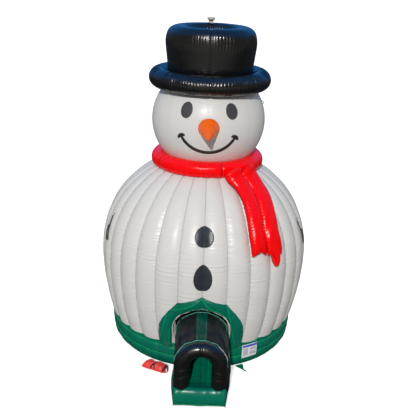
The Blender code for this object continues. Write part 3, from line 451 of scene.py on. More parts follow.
def revolved(name, line, along, columns, slot, shape, closed=False, **rest):
    """Spin an upward (radius, height) line about Z; shape(azimuth, along) pushes it outwards."""
    azimuth = loop_angles(columns)[None, :]
    tangent = np.roll(line, -1, axis=0) - np.roll(line, 1, axis=0) if closed else np.gradient(line, axis=0)
    tangent = unit(tangent)
    push = shape(azimuth, along[:, None])
    points = polar(line[:, :1] + push * tangent[:, 1:], azimuth, line[:, 1:] - push * tangent[:, :1])
    return add_grid(name, points, slot, wrap=True, close_rows=closed, **rest)


def inside(u, v, outline):
    """Which (u, v) points lie inside an outline."""
    found = np.zeros(np.shape(u), bool)
    for (u0, v0), (u1, v1) in zip(outline, outline[1:] + outline[:1]):
        if v0 == v1:
            continue
        crosses = (v0 > v) != (v1 > v)
        found ^= crosses & (u < u0 + (v - v0) * (u1 - u0) / (v1 - v0))
    return found


def both_sides(half):
    """Close a right-hand half outline, bottom to top, with its mirror image."""
    return list(half) + [(-u, v) for u, v in reversed(half) if u]


# ---- the body's surface ------------

def body_radius(z):
    """Crest radius of the body at heights."""
    rise = np.asarray(z, float) - BODY_WAIST_Z
    height, power = BODY_UPPER
    upper = np.clip(1 - np.clip(rise / height, 0, 1) ** power, 0, 1) ** (1 / power)
    lower = np.sqrt(np.clip(1 - (rise / BODY_LOWER_HEIGHT) ** 2, 0, 1))
    return BODY_RADIUS * np.where(rise > 0, upper, lower)


def gore_radius(azimuth, z):
    """Radius of the inflated gores, which pull in at their seams."""
    crest = body_radius(z)
    across = 2 * ((azimuth / GORE) % 1) - 1
    depth = 0.025 + 0.016 * (1 - crest / BODY_RADIUS)
    return crest * (1 - depth * np.abs(across) ** 2.4)


def slope_at(z):
    """How fast the body's crest radius grows with height."""
    step = 0.01
    return (body_radius(z + step) - body_radius(z - step)) / (2 * step)


def on_body(u, v, lift):
    """Points over the body, at sideways and height coordinates seen from the front."""
    u, v = np.broadcast_arrays(np.asarray(u, float), np.asarray(v, float))
    azimuth = np.arcsin(u / BODY_RADIUS)
    for _ in range(5):
        azimuth = np.arcsin(u / gore_radius(azimuth, v))
    slope = slope_at(v)
    out = 1 / np.sqrt(1 + slope ** 2)
    return polar(gore_radius(azimuth, v) + lift * out, azimuth, v - lift * slope * out)


def on_crest(azimuth_degrees, z, lift):
    """A point standing off the body's crest surface along its normal."""
    slope = float(slope_at(z))
    out = 1 / math.sqrt(1 + slope ** 2)
    return polar(float(body_radius(z)) + lift * out, math.radians(azimuth_degrees), z - lift * slope * out)


def body_rows(spacing):
    """Heights at an even distance along the body's crest line, with that distance."""
    height, power = BODY_UPPER
    top = BODY_WAIST_Z + height * (1 - (NECK_RADIUS / BODY_RADIUS) ** power) ** (1 / power)
    z = np.linspace(BODY_BOTTOM_Z, top, 3000)
    line, along = even_curve(np.stack([body_radius(z), z], -1), spacing)
    return line[:, 1], along


def gathers(distance, along, seed, depth, reach, low, high):
    """Depth of the small creases that a sewn line gathers beside it."""
    wave = ripple(along + 0.05 * distance, seed, low, high, 7)
    return -depth * np.clip(np.abs(wave) + 0.15, 0, 1.6) * bell(distance, reach)


def all_gathers(*creases):
    return sum(gathers(*crease) for crease in creases)


def panel_distance(azimuth, radius, panels, start=0.0):
    """Distance to the nearest of some upright seams, evenly spaced from an azimuth in degrees."""
    share = (azimuth - math.radians(start)) / (math.tau / panels)
    return np.abs(share - np.round(share)) * (math.tau / panels) * radius


# ---- tether ropes ------------

ROPE_RADIUS = 0.011
ROPE_LIFT = 0.024                    # height of a rope's middle over the body's crests
ROPE_ROUTES = {                      # azimuth in degrees, height; from the ring down, then back up
    "left": ((-67.4, 2.985), (-67.4, 2.93), (-67.5, 2.84), (-67.6, 2.75), (-67.3, 2.66), (-66.8, 2.58),
             (-66.2, 2.51), (-66.3, 2.465), (-67.5, 2.455), (-68.6, 2.50), (-69.4, 2.57),
             (-69.8, 2.63), (-69.5, 2.69), (-68.7, 2.735)),
    "right": ((69.3, 2.985), (69.6, 2.93), (70.4, 2.85), (71.3, 2.76), (71.9, 2.68), (72.3, 2.60),
              (72.6, 2.53), (73.0, 2.475), (73.9, 2.46), (74.5, 2.51), (74.3, 2.58), (73.9, 2.66),
              (73.3, 2.73)),
}
TETHER_Z = 3.10
TETHER_AZIMUTHS = {"left": -67.4, "right": 69.3}
RING_DROP, RING_LIFT = 0.068, 0.014


def make_rope(hand):
    """A braided rope along its route, with a stopper knot and a sealed end."""
    body = "tether_" + hand
    stops = [on_crest(*stop, ROPE_LIFT) for stop in ROPE_ROUTES[hand]]
    path, run = even_curve(smooth_route(stops, 12), 0.0032)
    around, strands, twist_pitch = 20, 4, 0.05
    angle = loop_angles(around)[None, :]
    twist = math.tau * run[:, None] / twist_pitch
    braid = sum(0.0007 * np.abs(np.sin(strands * angle + way * 2 * twist)) for way in (1, -1))
    rings = rings_round(path, *frames_along(path, (1, 0, 0)), ROPE_RADIUS - 0.0010 + braid, around)
    rope = add_grid("rope_braid_" + hand, with_ends(rings, path[0], path[-1]), "rope", wrap=True, flip=True,
                    body=body, replaces=["tether_rope_" + hand])
    end = path[-1]
    out = unit(end * (1, 1, 0))
    ahead = unit(path[-1] - path[-4])
    side = np.cross(ahead, out)
    turn = np.linspace(0, math.tau, 90)
    curl = (np.outer(np.sin(turn) + 2 * np.sin(2 * turn), ahead)
            + np.outer(np.cos(turn) - 2 * np.cos(2 * turn), side) - np.outer(np.sin(3 * turn), out)) * 0.0075
    knot = tube("rope_knot_" + hand, end + ahead * 0.012 + out * 0.004 + curl, out, 0.0088, "rope",
                around=12, body=body)
    tail = [end + ahead * along + out * 0.003 for along in (0.02, 0.032, 0.042, 0.050)]
    tip = tube("rope_tip_" + hand, tail, out, (0.008, 0.0085, 0.008, 0.006), "rope", around=12, body=body,
               shade="rope_end")


def make_ring(hand):
    """The D ring: a straight bar under the patch and a half round below it."""
    side, _ = across_and_out(math.radians(TETHER_AZIMUTHS[hand]))
    top, below = (on_crest(TETHER_AZIMUTHS[hand], TETHER_Z - drop, RING_LIFT)
                  for drop in (RING_DROP, RING_DROP + 0.04))
    down = unit(below - top)
    half_width = 0.025
    turn = np.linspace(0, math.pi, 19)
    bend = top + np.outer(np.cos(turn), side) * half_width + np.outer(np.sin(turn), down) * half_width
    bar = top + np.linspace(-half_width, half_width, 9)[1:-1, None] * side
    tube("ring_steel_" + hand, smooth_route([*bend, *bar, bend[0]], 3), np.cross(side, down), 0.004, "steel",
         around=12, body="tether_" + hand, replaces=["tether_ring_" + hand])


for rope_hand in ROPE_ROUTES:
    make_rope(rope_hand)
    make_ring(rope_hand)


# ---- body ------------

def make_body():
    z, along = body_rows(0.0125)
    steps = bunched(19)[:-1] / 2 + 0.5
    door = [(u * 0.95, v - 0.05 * (v > 0.5)) for u, v in both_sides(DOOR_OUTER)]
    for wall, (first, last) in SECTIONS.items():
        share = np.concatenate([gore + steps for gore in range(first, last)] + [[last]])
        azimuth = share * GORE
        nearest = np.round(share)
        distance = np.abs(azimuth - nearest * GORE)[None, :] * body_radius(z)[:, None]
        radius = gore_radius(azimuth[None, :], z[:, None])
        for column, seam in enumerate(nearest):
            seed = 7 * int(seam % GORES) + (1 if share[column] >= seam else 0)
            gore = int(math.floor(share[column])) % GORES
            change = gathers(distance[:, column], along, seed, 0.0075, 0.085, 10, 26)
            change += 0.0022 * ripple(along, 500 + gore, 0.6, 2.2, 5)
            change += (0.0013 * ripple(along, 900 + gore, 9, 20, 8)
                       * (1 + 0.7 * ripple(along, 950 + gore, 0.8, 3, 5)))
            radius[:, column] += change
        points = polar(radius, azimuth[None, :], z[:, None])
        quads = grid_quads(len(z), len(azimuth))
        hole = inside(points[..., 0].ravel(), points[..., 2].ravel(), door) & (wall == "body_wall_front")
        # grey line along each seam: partly dirt, partly painted shade in its groove
        add_cut(wall.replace("body_wall", "gores"), points, quads, hole[quads].all(axis=1), "white_vinyl",
                replaces=[wall], seam=0.9 * bell(distance, 0.009))


def make_lining():
    """The white inner face of the wall, which the jump chamber sees."""
    z, _ = body_rows(0.07)
    azimuth = np.linspace(0, math.tau, GORES * 6, endpoint=False)
    depth = WALL * (1 + 0.25 * np.cos(azimuth * GORES))[None, :]
    radius = gore_radius(azimuth[None, :], z[:, None]) - depth - WALL * (body_radius(z) < 1.6)[:, None]
    points = polar(radius, azimuth[None, :], z[:, None])
    quads = grid_quads(len(z), len(azimuth), close_columns=True)[:, ::-1]
    x, y, height = points.reshape(-1, 3).T
    hole = inside(x, height, both_sides(DOOR_OUTER)) & (y < 0)
    add_cut("chamber_lining", points, quads, hole[quads].any(axis=1), "white_vinyl")


make_body()
make_lining()

# ---- doorway ------------

def half_line(outline, spacing):
    """The whole outline from its right foot over the top to its left foot, with even points."""
    right = [np.array(point) for point in outline]
    left = [np.array((-u, v)) for u, v in reversed(outline[:-1])]
    return even_curve(np.array(right + left), spacing)


def make_doorway():
    outer, _ = half_line([(u * 0.988, v - 0.022 * (v > 1.3)) for u, v in DOOR_OUTER], 0.014)
    inner, _ = even_curve(smooth_route([*DOOR_INNER, *[(-u, v) for u, v in DOOR_INNER[-2::-1]]], 10), 0.01)
    share = np.linspace(0, 1, 300)
    outer, inner = (sampled(share, np.linspace(0, 1, len(line)), line) for line in (outer, inner))
    across = np.array([0.0, 0.0, 0.03, 0.08, 0.2, 0.35, 0.5, 0.65, 0.8, 0.92, 0.97, 1.0, 1.0])
    lift = np.array([-0.02, 0.018, 0.028, 0.033, 0.038, 0.040, 0.041, 0.040, 0.037, 0.030, 0.022, 0.005,
                     -0.08])
    band = outer + (inner - outer) * across[:, None, None]
    edge = np.minimum(across, 1 - across)[:, None] * np.linalg.norm(inner - outer, axis=1)[None, :]
    crease = gathers(edge, run_along(outer)[None, :], 31, 0.006, 0.09, 6, 16)
    points = on_body(band[..., 0], band[..., 1], lift[:, None] + crease)
    add_grid("doorway_band", points, "green_vinyl", flip=True, replaces=["doorway_border"])
    routes = {
        "crown_left": ((0.0, 1.80), (-0.17, 1.69), (-0.36, 1.58), (-0.56, 1.50)),
        "crown_right": ((0.02, 1.80), (0.10, 1.67), (0.20, 1.58), (0.36, 1.50), (0.52, 1.34)),
        "side_right": ((0.52, 1.60), (0.55, 1.42), (0.60, 1.20), (0.63, 1.02), (0.71, 0.62)),
        "side_left": ((-0.70, 1.37), (-0.75, 1.15), (-0.80, 0.92), (-0.83, 0.72)),
        "foot_left": ((-0.635, 1.05), (-0.645, 0.80), (-0.64, 0.56)),
    }
    for name, route in routes.items():
        line, _ = even_curve(smooth_route(route, 8), 0.03)
        wobble = 0.006 * ripple(np.arange(len(line)) * 0.03, len(name), 1, 4)
        green_seam("door_seam_" + name, on_body(line[:, 0] + wobble, line[:, 1], 0.040), (0, -1, 0.3), 0.007)
    lower = on_body(outer[:, 0] * 1.004, outer[:, 1] + 0.004, 0.014)
    rim = on_body(inner[:, 0], inner[:, 1], 0.022)
    for name, path, radius in (("edge", lower, 0.008), ("rim", rim, 0.010)):
        green_seam(f"door_{name}_piping", path[::2], (0, -1, 0.2), radius, shade=None)


def make_door_collar():
    """White sheets from the doorway's edge in to the tunnel's far end, one on each side."""
    heights = np.linspace(0.575, 1.50, 60)
    edge_u = np.interp(heights, [v for _, v in DOOR_INNER], [u for u, _ in DOOR_INNER])
    inner_u = np.minimum(np.interp(heights, (0.5, 1.08, 1.25, 1.38, 1.47, 1.52),
                                   (0.535, 0.535, 0.495, 0.39, 0.24, 0.10)), edge_u - 0.004)
    share = np.linspace(0, 1, 24)[:, None]
    billow = 0.010 * ripple(heights[None, :] + 0.3 * share, 38, 1, 4) * np.sin(math.pi * share)
    for hand, sign in (("left", -1), ("right", 1)):
        edge = on_body(sign * edge_u, heights, -0.01)
        inner = xyz(TUNNEL_X * 0.5 + sign * inner_u, TUNNEL_BACK_Y, heights + 0.01)
        points = edge[None] * (1 - share[..., None]) + inner[None] * share[..., None]
        points[..., 0] += sign * billow
        thicken(add_grid("door_collar_" + hand, points, "white_vinyl"), 0.003, 0.0)


make_doorway()
make_door_collar()

# ---- base ring and floor ------------

RING_RADIUS = 2.06
RING_SEAMS_Z = (0.275, 0.485)
RING_TOP_SEAM_Z = 0.566


def ring_profile(z):
    return np.interp(z, (0.0, 0.05, 0.12, 0.20, 0.28, 0.45, 0.53, 0.575),
                     (1.93, 1.985, 2.025, 2.048, 2.058, 2.062, 2.055, 2.03))


def make_base_ring():
    z = np.linspace(0.0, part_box("base_ring")[1].z, 64)
    line = np.concatenate([[(1.84, 0.0)], np.stack([ring_profile(z), z], -1),
                           [(1.97, z[-1] + 0.001), (1.84, z[-1] - 0.01)]])
    height = line[:, 1][:, None]
    rim = ((line[:, 0] > 1.95) & (line[:, 1] > 0.004))[:, None]

    def shape(azimuth, _):
        across = 2 * ((azimuth / GORE) % 1) - 1
        dip = -0.012 * np.abs(across) ** 8 - 0.012 * np.abs(across) ** 2
        for number, seam_z in enumerate((0.0, *RING_SEAMS_Z, 0.565)):
            distance = np.abs(height - seam_z)
            dip = dip - 0.015 * bell(distance, 0.028)
            dip = dip + gathers(distance, azimuth * 2.0, 60 + number, 0.006, 0.06, 5, 15)
        return dip * rim

    revolved("ring_skin", line, run_along(line), GORES * 26, "green_vinyl", shape, replaces=["base_ring"])
    azimuth = np.linspace(0, math.tau, 449)
    across = 2 * ((azimuth / GORE) % 1) - 1
    for number, seam_z in enumerate((*RING_SEAMS_Z, RING_TOP_SEAM_Z)):
        radius = ring_profile(seam_z) - 0.014 - 0.012 * np.abs(across) ** 2
        path = polar(radius, azimuth, seam_z + 0.006 * ripple(azimuth * 2, 80 + number, 0.5, 3))
        away = (np.abs(path[:, 0] - TUNNEL_X) > TUNNEL_HALF) | (path[:, 1] > 0)
        start = int(np.argmax(away & (azimuth > 0)))
        green_seam(f"ring_seam_{number}", path[start:][away[start:]], (0, 0, 1), 0.008)


def make_floor():
    """The jump floor: a disc of long air-filled channels between sewn lines."""
    low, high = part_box("bounce_floor")
    pitch = 0.30
    rings = np.concatenate([[1e-4], np.linspace(0.05, 0.985, 44), [1.0, 1.0]])
    azimuth = np.linspace(0, math.tau, 168, endpoint=False)
    points = polar(high.x * rings[:, None], azimuth[None, :], 0.0)
    x, y, z = (points[..., i] for i in range(3))
    crown = np.sqrt(np.abs(np.cos(math.pi * x / pitch)))
    z[:] = high.z - 0.045 * (1 - crown) - 0.004 * (1 + ripple(y + 0.3 * x, 5, 1, 6)) * (1 - crown)
    z[-2] -= 0.035
    z[-1] = low.z + 0.002
    line = bell((np.abs((x / pitch) % 1 - 0.5)) * pitch, 0.012)
    add_grid("floor_channels", points, "green_vinyl", wrap=True, flip=True, replaces=["bounce_floor"],
             seam=0.6 * line)


make_base_ring()
make_floor()

# ---- head, face and neck ------------

def head_radius(z):
    share = np.clip((np.asarray(z, float) - HEAD_Z) / HEAD_HEIGHT, -1, 1)
    radius = HEAD_RADIUS * np.sqrt(1 - share ** 2)
    return radius + 0.006 * bell(np.asarray(z, float) - CAP_SEAM_Z, 0.05)


def on_head(centre, u, v, lift):
    """Points over the head, at sideways and height coordinates about an azimuth."""
    u, v = np.broadcast_arrays(np.asarray(u, float), np.asarray(v, float))
    radius = head_radius(v)
    out = np.sqrt(np.clip(radius ** 2 - u ** 2, 0, None))
    share = (v - HEAD_Z) / HEAD_HEIGHT
    normal = np.stack([out / HEAD_RADIUS, u / HEAD_RADIUS, share * HEAD_RADIUS / HEAD_HEIGHT], -1)
    normal /= np.linalg.norm(normal, axis=-1)[..., None]
    local = np.stack([out, u, v], -1) + normal * np.asarray(lift)[..., None]
    azimuth = math.radians(centre)
    x = local[..., 0] * math.sin(azimuth) + local[..., 1] * math.cos(azimuth)
    y = -local[..., 0] * math.cos(azimuth) + local[..., 1] * math.sin(azimuth)
    return np.stack([x, y, local[..., 2]], -1)


def make_head():
    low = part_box("head_envelope")[0].z
    angle = np.linspace(math.asin((low - HEAD_Z) / HEAD_HEIGHT), math.pi / 2 - 0.01, 190)
    z = HEAD_Z + HEAD_HEIGHT * np.sin(angle)
    line = np.stack([head_radius(z), z], -1)
    columns, panels = 480, 8
    seam_distance = panel_distance(loop_angles(columns)[None, :], line[:, :1], panels)
    cap_distance = np.abs(z - CAP_SEAM_Z)[:, None]

    def shape(azimuth, along):
        low_edge = bell(along - along.min(), 0.25)
        return (-0.0022 * bell(seam_distance, 0.035) - 0.012 * bell(cap_distance, 0.014)
                + all_gathers((seam_distance, along, 41, 0.0008, 0.10, 5, 13),
                              (cap_distance, azimuth * HEAD_RADIUS, 42, 0.003, 0.05, 5, 13))
                + 0.004 * low_edge * ripple(azimuth, 43, 3, 9))

    # grey line at the cap seam, faint at the panel seams: partly dirt, partly painted shade in their creases
    seam = bell(cap_distance, 0.013) + 0.10 * bell(seam_distance, 0.014)
    revolved("head_skin", line, run_along(line), columns, "white_vinyl", shape, replaces=["head_envelope"],
             seam=np.clip(seam, 0, 1))


def patch_grid(outline, share):
    """A sewn-on panel's outline drawn in to its middle, in rings at shares of its size."""
    outline = np.array(outline, float)
    middle = outline.mean(axis=0)
    return middle + (outline - middle)[None, :, :] * share[:, None, None]


def face_patch(name, centre, outline, slot, thick, **rest):
    """A sewn-on panel whose outline is seen whole from its middle."""
    share = np.concatenate([[1e-3], np.linspace(0.12, 0.94, 12), [0.985, 1.0, 1.0]])
    lift = np.concatenate([np.full(13, thick), [thick * 0.85, thick * 0.4, -0.004]])
    grid = patch_grid(outline, share)
    points = on_head(centre, grid[..., 0], grid[..., 1], np.broadcast_to(lift[:, None], grid.shape[:2]))
    return add_grid(name, points, slot, wrap=True, flip=True, **rest)


def oval(centre_v, half_width, half_height, count=72):
    angle = loop_angles(count)
    return np.stack([half_width * np.cos(angle), centre_v + half_height * np.sin(angle)], -1)


def face_ribbon(name, line, half_width, lift=0.010, **rest):
    """A flat dark strip sewn on the face along a line of (u, v)."""
    ahead = unit(np.gradient(line, axis=0))
    side = np.stack([ahead[:, 1], -ahead[:, 0]], -1)
    across = mirrored((-1.0, -1.0, -0.9, -0.45, 0.0), -1)
    rise = mirrored((-0.004, 0.3 * lift, lift, lift, lift))
    uv = line[:, None, :] + side[:, None, :] * (across[None, :] * half_width[:, None])[..., None]
    points = on_head(0.0, uv[..., 0], uv[..., 1], np.broadcast_to(rise[None, :], uv.shape[:2]))
    return add_grid(name, points, "charcoal_vinyl", shade="smile_dark", **rest)


def make_face():
    for name, centre, tilt in (("eye_left", -22.8, 5), ("eye_right", 23.6, -3)):
        cosine, sine = math.cos(math.radians(tilt)), math.sin(math.radians(tilt))
        for suffix, grow, slot, thick in (("_edge", 0.012, "white_vinyl", 0.005),
                                          ("", 0.0, "charcoal_vinyl", 0.010)):
            u, v = oval(0.0, 0.126 + grow, 0.157 + grow).T
            turned = np.stack([u * cosine + v * sine, EYE_Z - u * sine + v * cosine], -1)
            face_patch(name + suffix + "_patch", centre, turned, slot, thick,
                       replaces=[] if suffix else [name])
    radius, centre_z, half_angle = 0.62, 5.161, math.radians(60.2)
    angle = np.linspace(-half_angle, half_angle, 90)
    arc = np.stack([radius * np.sin(angle), centre_z - radius * np.cos(angle)], -1)
    taper = 0.033 - 0.007 * np.abs(angle / half_angle) ** 3
    face_ribbon("smile_stroke", arc, taper, replaces=["mouth_smile"])
    for hand, sign in (("left", -1), ("right", 1)):
        tip = np.array((sign * radius * math.sin(half_angle), centre_z - radius * math.cos(half_angle)))
        out = np.array((sign * math.cos(half_angle), math.sin(half_angle)))
        over = np.array((-out[1], out[0]))
        bend = np.linspace(-1.15, 1.15, 24)
        crescent = tip - out * 0.045 + 0.076 * (np.outer(np.cos(bend), out) + np.outer(np.sin(bend), over))
        thick = 0.036 * np.sqrt(np.clip(1 - (bend / 1.22) ** 2, 0.02, 1))
        face_ribbon("smile_corner_" + hand, crescent, thick, lift=0.011)


def make_nose():
    low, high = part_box("nose_cone")
    base = np.array((0.01, high.y + 0.03, 5.06))
    tip = np.array((0.0, low.y, 4.955))
    share = np.concatenate([np.linspace(0, 0.94, 70), [0.965, 0.985, 1.0]])
    side = np.array((1.0, 0.0, 0.0))
    up = np.cross(side, unit(tip - base))
    radius = np.interp(share, (0, 0.05, 0.10, 0.5, 0.9, 0.965, 0.985, 1.0),
                       (0.212, 0.218, 0.205, 0.125, 0.036, 0.020, 0.012, 1e-4))
    seams = (0.075, 0.34, 0.60)
    dip = sum(0.0045 * bell(share - seam, 0.012) for seam in seams)
    line = sum(bell(share - seam, 0.010) for seam in seams)
    around = 96
    gather = all_gathers(*((np.abs(share - seam)[:, None] * 0.55, 0.2 * loop_angles(around)[None, :],
                            70 + number, 0.003, 0.05, 12, 30) for number, seam in enumerate(seams)))
    radius = np.clip((radius - dip)[:, None] + gather * (radius > 0.03)[:, None], 1e-4, None)
    points = rings_round(base + np.outer(share, tip - base), side[None], up[None], radius, around)
    add_grid("nose_skin", points, "orange_vinyl", wrap=True, replaces=["nose_cone"],
             seam=np.repeat(0.7 * line, around))


make_head()
make_face()
make_nose()

# ---- hat ------------

CROWN_LINE = ((0.885, 5.972), (0.905, 6.15), (0.935, 6.40), (0.958, 6.60), (0.945, 6.74), (0.90, 6.855),
              (0.81, 6.925), (0.70, 6.950), (0.585, 6.935), (0.50, 6.875), (0.445, 6.775), (0.36, 6.725),
              (0.18, 6.705), (0.001, 6.70))
BRIM_RADIUS, BRIM_TUBE, BRIM_Z = 1.094, 0.205, 5.886


def away_from(line, run, point):
    """Distance along a line from the place nearest a point, as a column."""
    return np.abs(run - run[int(np.argmin(np.hypot(*(line - np.array(point)).T)))])[:, None]


def make_crown():
    line, run = even_curve(smooth_route(CROWN_LINE, 10), 0.0125)
    columns = 600
    radius, height = line[:, :1], line[:, 1:]
    shoulder, rim = (away_from(line, run, point) for point in ((0.955, 6.68), (0.47, 6.82)))
    panel = panel_distance(loop_angles(columns)[None, :], radius, 2)

    def shape(azimuth, along):
        around = azimuth * 0.93
        push = all_gathers(
            (shoulder, around, 11, 0.013, 0.15, 6.5, 9.5), (shoulder, around, 12, 0.003, 0.15, 11, 15),
            (rim, around * 0.5, 13, 0.010, 0.09, 5, 10), (along, around, 14, 0.004, 0.07, 7, 14),
            (panel, along, 15, 0.002, 0.08, 6, 16))
        push = push - 0.012 * bell(panel, 0.035)
        push = push + 0.005 * ripple(azimuth * 0.9, 16, 0.3, 1.4) * bell(height - 6.5, 0.35)
        return push * (radius > 0.05)

    revolved("crown_skin", line, run, columns, "black_vinyl", shape, replaces=["hat_crown"],
             seam=bell(panel, 0.010))


def make_brim():
    turn = np.linspace(0, math.tau, 128, endpoint=False)
    loop = np.stack([BRIM_RADIUS + BRIM_TUBE * np.cos(turn), BRIM_Z + BRIM_TUBE * np.sin(turn)], -1)
    columns = 760
    panel = panel_distance(loop_angles(columns)[None, :], loop[:, :1], 8)

    def apart(degrees):
        away = np.abs((turn - math.radians(degrees) + math.pi) % math.tau - math.pi)
        return (away * BRIM_TUBE)[:, None]

    def shape(azimuth, _):
        around = azimuth * 1.2
        creases = ((50, 0.015, 0.14, 7, 10), (50, 0.003, 0.14, 11, 15), (150, 0.006, 0.09, 7, 14),
                   (-15, 0.009, 0.13, 6, 9), (-110, 0.006, 0.10, 6, 12))
        return all_gathers(*((apart(degrees), around, 21 + number, *rest) for number, (degrees, *rest)
                             in enumerate(creases))) - 0.014 * bell(panel, 0.03)

    revolved("brim_skin", loop, turn * BRIM_TUBE, columns, "black_vinyl", shape, closed=True,
             replaces=["hat_brim"], seam=bell(panel, 0.010))


VENT_PLACE = (-0.02, 0.62)
VENT_TIE_Z = 6.995


def make_vent():
    """A short open cloth tube, tied shut near its top."""
    route = ((0.056, 6.953), (0.055, 6.97), (0.050, 6.985), (0.047, 6.995), (0.055, 7.004), (0.074, 7.014),
             (0.084, 7.034), (0.083, 7.055), (0.074, 7.067), (0.056, 7.060), (0.030, 7.045), (0.002, 7.030))
    line, run = even_curve(smooth_route(route, 8), 0.0025)

    def shape(azimuth, along):
        depth = 0.0035 * bell(line[:, 1:] - VENT_TIE_Z, 0.03) + 0.0016
        folds = 0.5 + 0.5 * np.sin(13 * azimuth + 2.0 * np.sin(2 * azimuth) + 30 * along)
        return -depth * folds * (line[:, :1] > 0.01)

    piece = revolved("vent_cloth", line, run, 96, "vent_fabric", shape, replaces=["vent_tube"])
    turn = np.linspace(0, math.tau, 65)
    radius = 0.0515 + 0.0008 * np.sin(9 * turn)
    tie = tube("vent_cord", polar(radius, turn, VENT_TIE_Z), (0, 0, 1), 0.0042, "webbing",
               replaces=["vent_tie"])
    for moved in (piece, tie):
        moved.data.transform(Matrix.Translation((*VENT_PLACE, 0.0)))


make_crown()
make_brim()
make_vent()

# ---- scarf ------------

COLLAR_LOOP = ((1.0, 4.085), (1.085, 4.035), (1.165, 4.012), (1.205, 4.06), (1.218, 4.15), (1.195, 4.245),
               (1.12, 4.310), (1.01, 4.318), (0.945, 4.285), (0.940, 4.15))
COLLAR_SEAM = 15.5                    # azimuth of the seam in front, in degrees
TAIL_HALF_WIDTHS = {"scarf_tail_inner": 0.175, "scarf_tail_outer": 0.196}
TAIL_HALF_DEPTH = 0.108
TAIL_LIFT = 0.105
TAIL_ROUTES = {
    "scarf_tail_inner": ((22.6, 4.22), (25.2, 4.07), (29.2, 3.82), (30.3, 3.59), (29.5, 3.32),
                         (28.8, 3.03), (28.8, 2.80), (28.6, 2.62)),
    "scarf_tail_outer": ((36.4, 4.22), (39.6, 4.07), (42.4, 3.82), (41.5, 3.59), (39.2, 3.32),
                         (38.1, 3.03), (38.3, 2.80), (38.4, 2.55), (38.3, 2.36)),
}
TAIL_ENDS = {                        # place across the tail, height of the hem there
    "scarf_tail_inner": ((-1.0, 2.70), (-0.8, 2.685), (0.1, 2.745), (0.3, 2.75), (0.8, 2.695), (1.0, 2.705)),
    "scarf_tail_outer": ((-1.0, 2.68), (-0.6, 2.67), (-0.36, 2.60), (-0.10, 2.43), (0.02, 2.395),
                         (0.17, 2.40), (0.27, 2.48), (0.34, 2.63), (0.55, 2.67), (0.85, 2.62), (1.0, 2.63)),
}
TAIL_COLLAR_RADIUS, TAIL_COLLAR_FLARE = 1.33, 0.3


def make_collar():
    loop, run = even_curve(smooth_route([*COLLAR_LOOP, COLLAR_LOOP[0]], 12), 0.011)
    loop, run = loop[:-1], run[:-1]
    columns = 600
    panel = panel_distance(loop_angles(columns)[None, :], loop[:, :1], 5, COLLAR_SEAM)
    top, low = (np.minimum(away, run[-1] - away)
                for away in (away_from(loop, run, point) for point in ((1.155, 4.28), (1.19, 4.03))))

    def shape(azimuth, along):
        around = azimuth * 1.2
        push = all_gathers((top, around, 91, 0.009, 0.075, 5, 11), (low, around, 92, 0.007, 0.08, 5, 12),
                           (panel, along, 93, 0.003, 0.05, 8, 18))
        return (push - 0.006 * bell(top, 0.010) - 0.012 * bell(panel, 0.02)
                + 0.003 * ripple(around, 94, 0.6, 2.5))

    revolved("collar_skin", loop, run, columns, "red_vinyl", shape, closed=True, replaces=["scarf_collar"],
             seam=bell(panel, 0.008))


def make_tail(name):
    half_width = TAIL_HALF_WIDTHS[name]
    middles = [polar(TAIL_COLLAR_RADIUS + TAIL_COLLAR_FLARE * (4.20 - z), math.radians(azimuth), z)
               if z > 4.0 else on_crest(azimuth, z, TAIL_LIFT) for azimuth, z in TAIL_ROUTES[name]]
    path, run = even_curve(smooth_route(middles, 12), 0.004)
    outward = unit(path * (1, 1, 0))
    ahead = unit(np.gradient(path, axis=0))
    side = np.cross((0, 0, 1), outward)
    side = unit(side - ahead * np.sum(side * ahead, axis=1)[:, None])
    normal = np.cross(side, ahead)
    normal *= np.sign(np.sum(normal * outward, axis=1))[:, None]

    angle = loop_angles(84)
    across = np.cos(angle)[None, :]
    length = np.interp(-np.interp(across, *zip(*TAIL_ENDS[name])), -path[:, 2], run)
    share = 1 - (1 - np.linspace(0, 1, 330)) ** 1.25
    distance = share[:, None] * length
    to_end = length - distance
    plump = np.sqrt(1 - np.clip(1 - to_end / 0.15, 0, 1) ** 2) * np.sqrt(
        1 - np.clip(1 - distance / 0.05, 0, 1) ** 2)
    edge = 1 - np.abs(across)
    seed = 101 if name.endswith("inner") else 131
    crease = all_gathers((edge * half_width * 1.2, distance, seed, 0.008, 0.07, 4, 9),
                         (np.abs(across) * half_width, distance, seed + 1, 0.0045, 0.07, 8, 15),
                         (to_end, across * 0.158, seed + 2, 0.010, 0.10, 6, 14))
    crease = crease + 0.004 * ripple(distance + 0.4 * across, seed + 3, 0.8, 3.0)
    width = half_width * (1 - 0.02 * ripple(distance, seed + 4, 0.7, 2.2)) * (1 + 0.14 * bell(distance, 0.25))
    width = width * np.sqrt(1 - 0.55 * np.clip(1 - distance / 0.06, 0, 1) ** 2)
    depth = np.sin(angle)[None, :] * np.clip(TAIL_HALF_DEPTH + crease, 0.01, None) * plump
    path, side, normal = (sampled(distance, run, values) for values in (path, side, normal))
    points = path + side * (across * width)[..., None] + normal * depth[..., None]
    top = points[:1].mean(axis=1, keepdims=True)
    points = np.concatenate([np.broadcast_to(top, points[:1].shape), points])
    seam = np.repeat(bell(edge * half_width, 0.004), len(points), axis=0)
    return add_grid(name + "_skin", points, "red_vinyl", wrap=True, flip=True, replaces=[name], seam=seam)


make_collar()
for tail_name in TAIL_ROUTES:
    make_tail(tail_name)


# ---- buttons and label ------------

DROP_HALF = ((0.045, 1.978), (0.098, 2.005), (0.148, 2.065), (0.179, 2.15), (0.188, 2.24), (0.176, 2.33),
             (0.142, 2.42), (0.092, 2.485), (0.042, 2.520), (0.0, 2.532))
LABEL_AZIMUTH = math.radians(31.0)


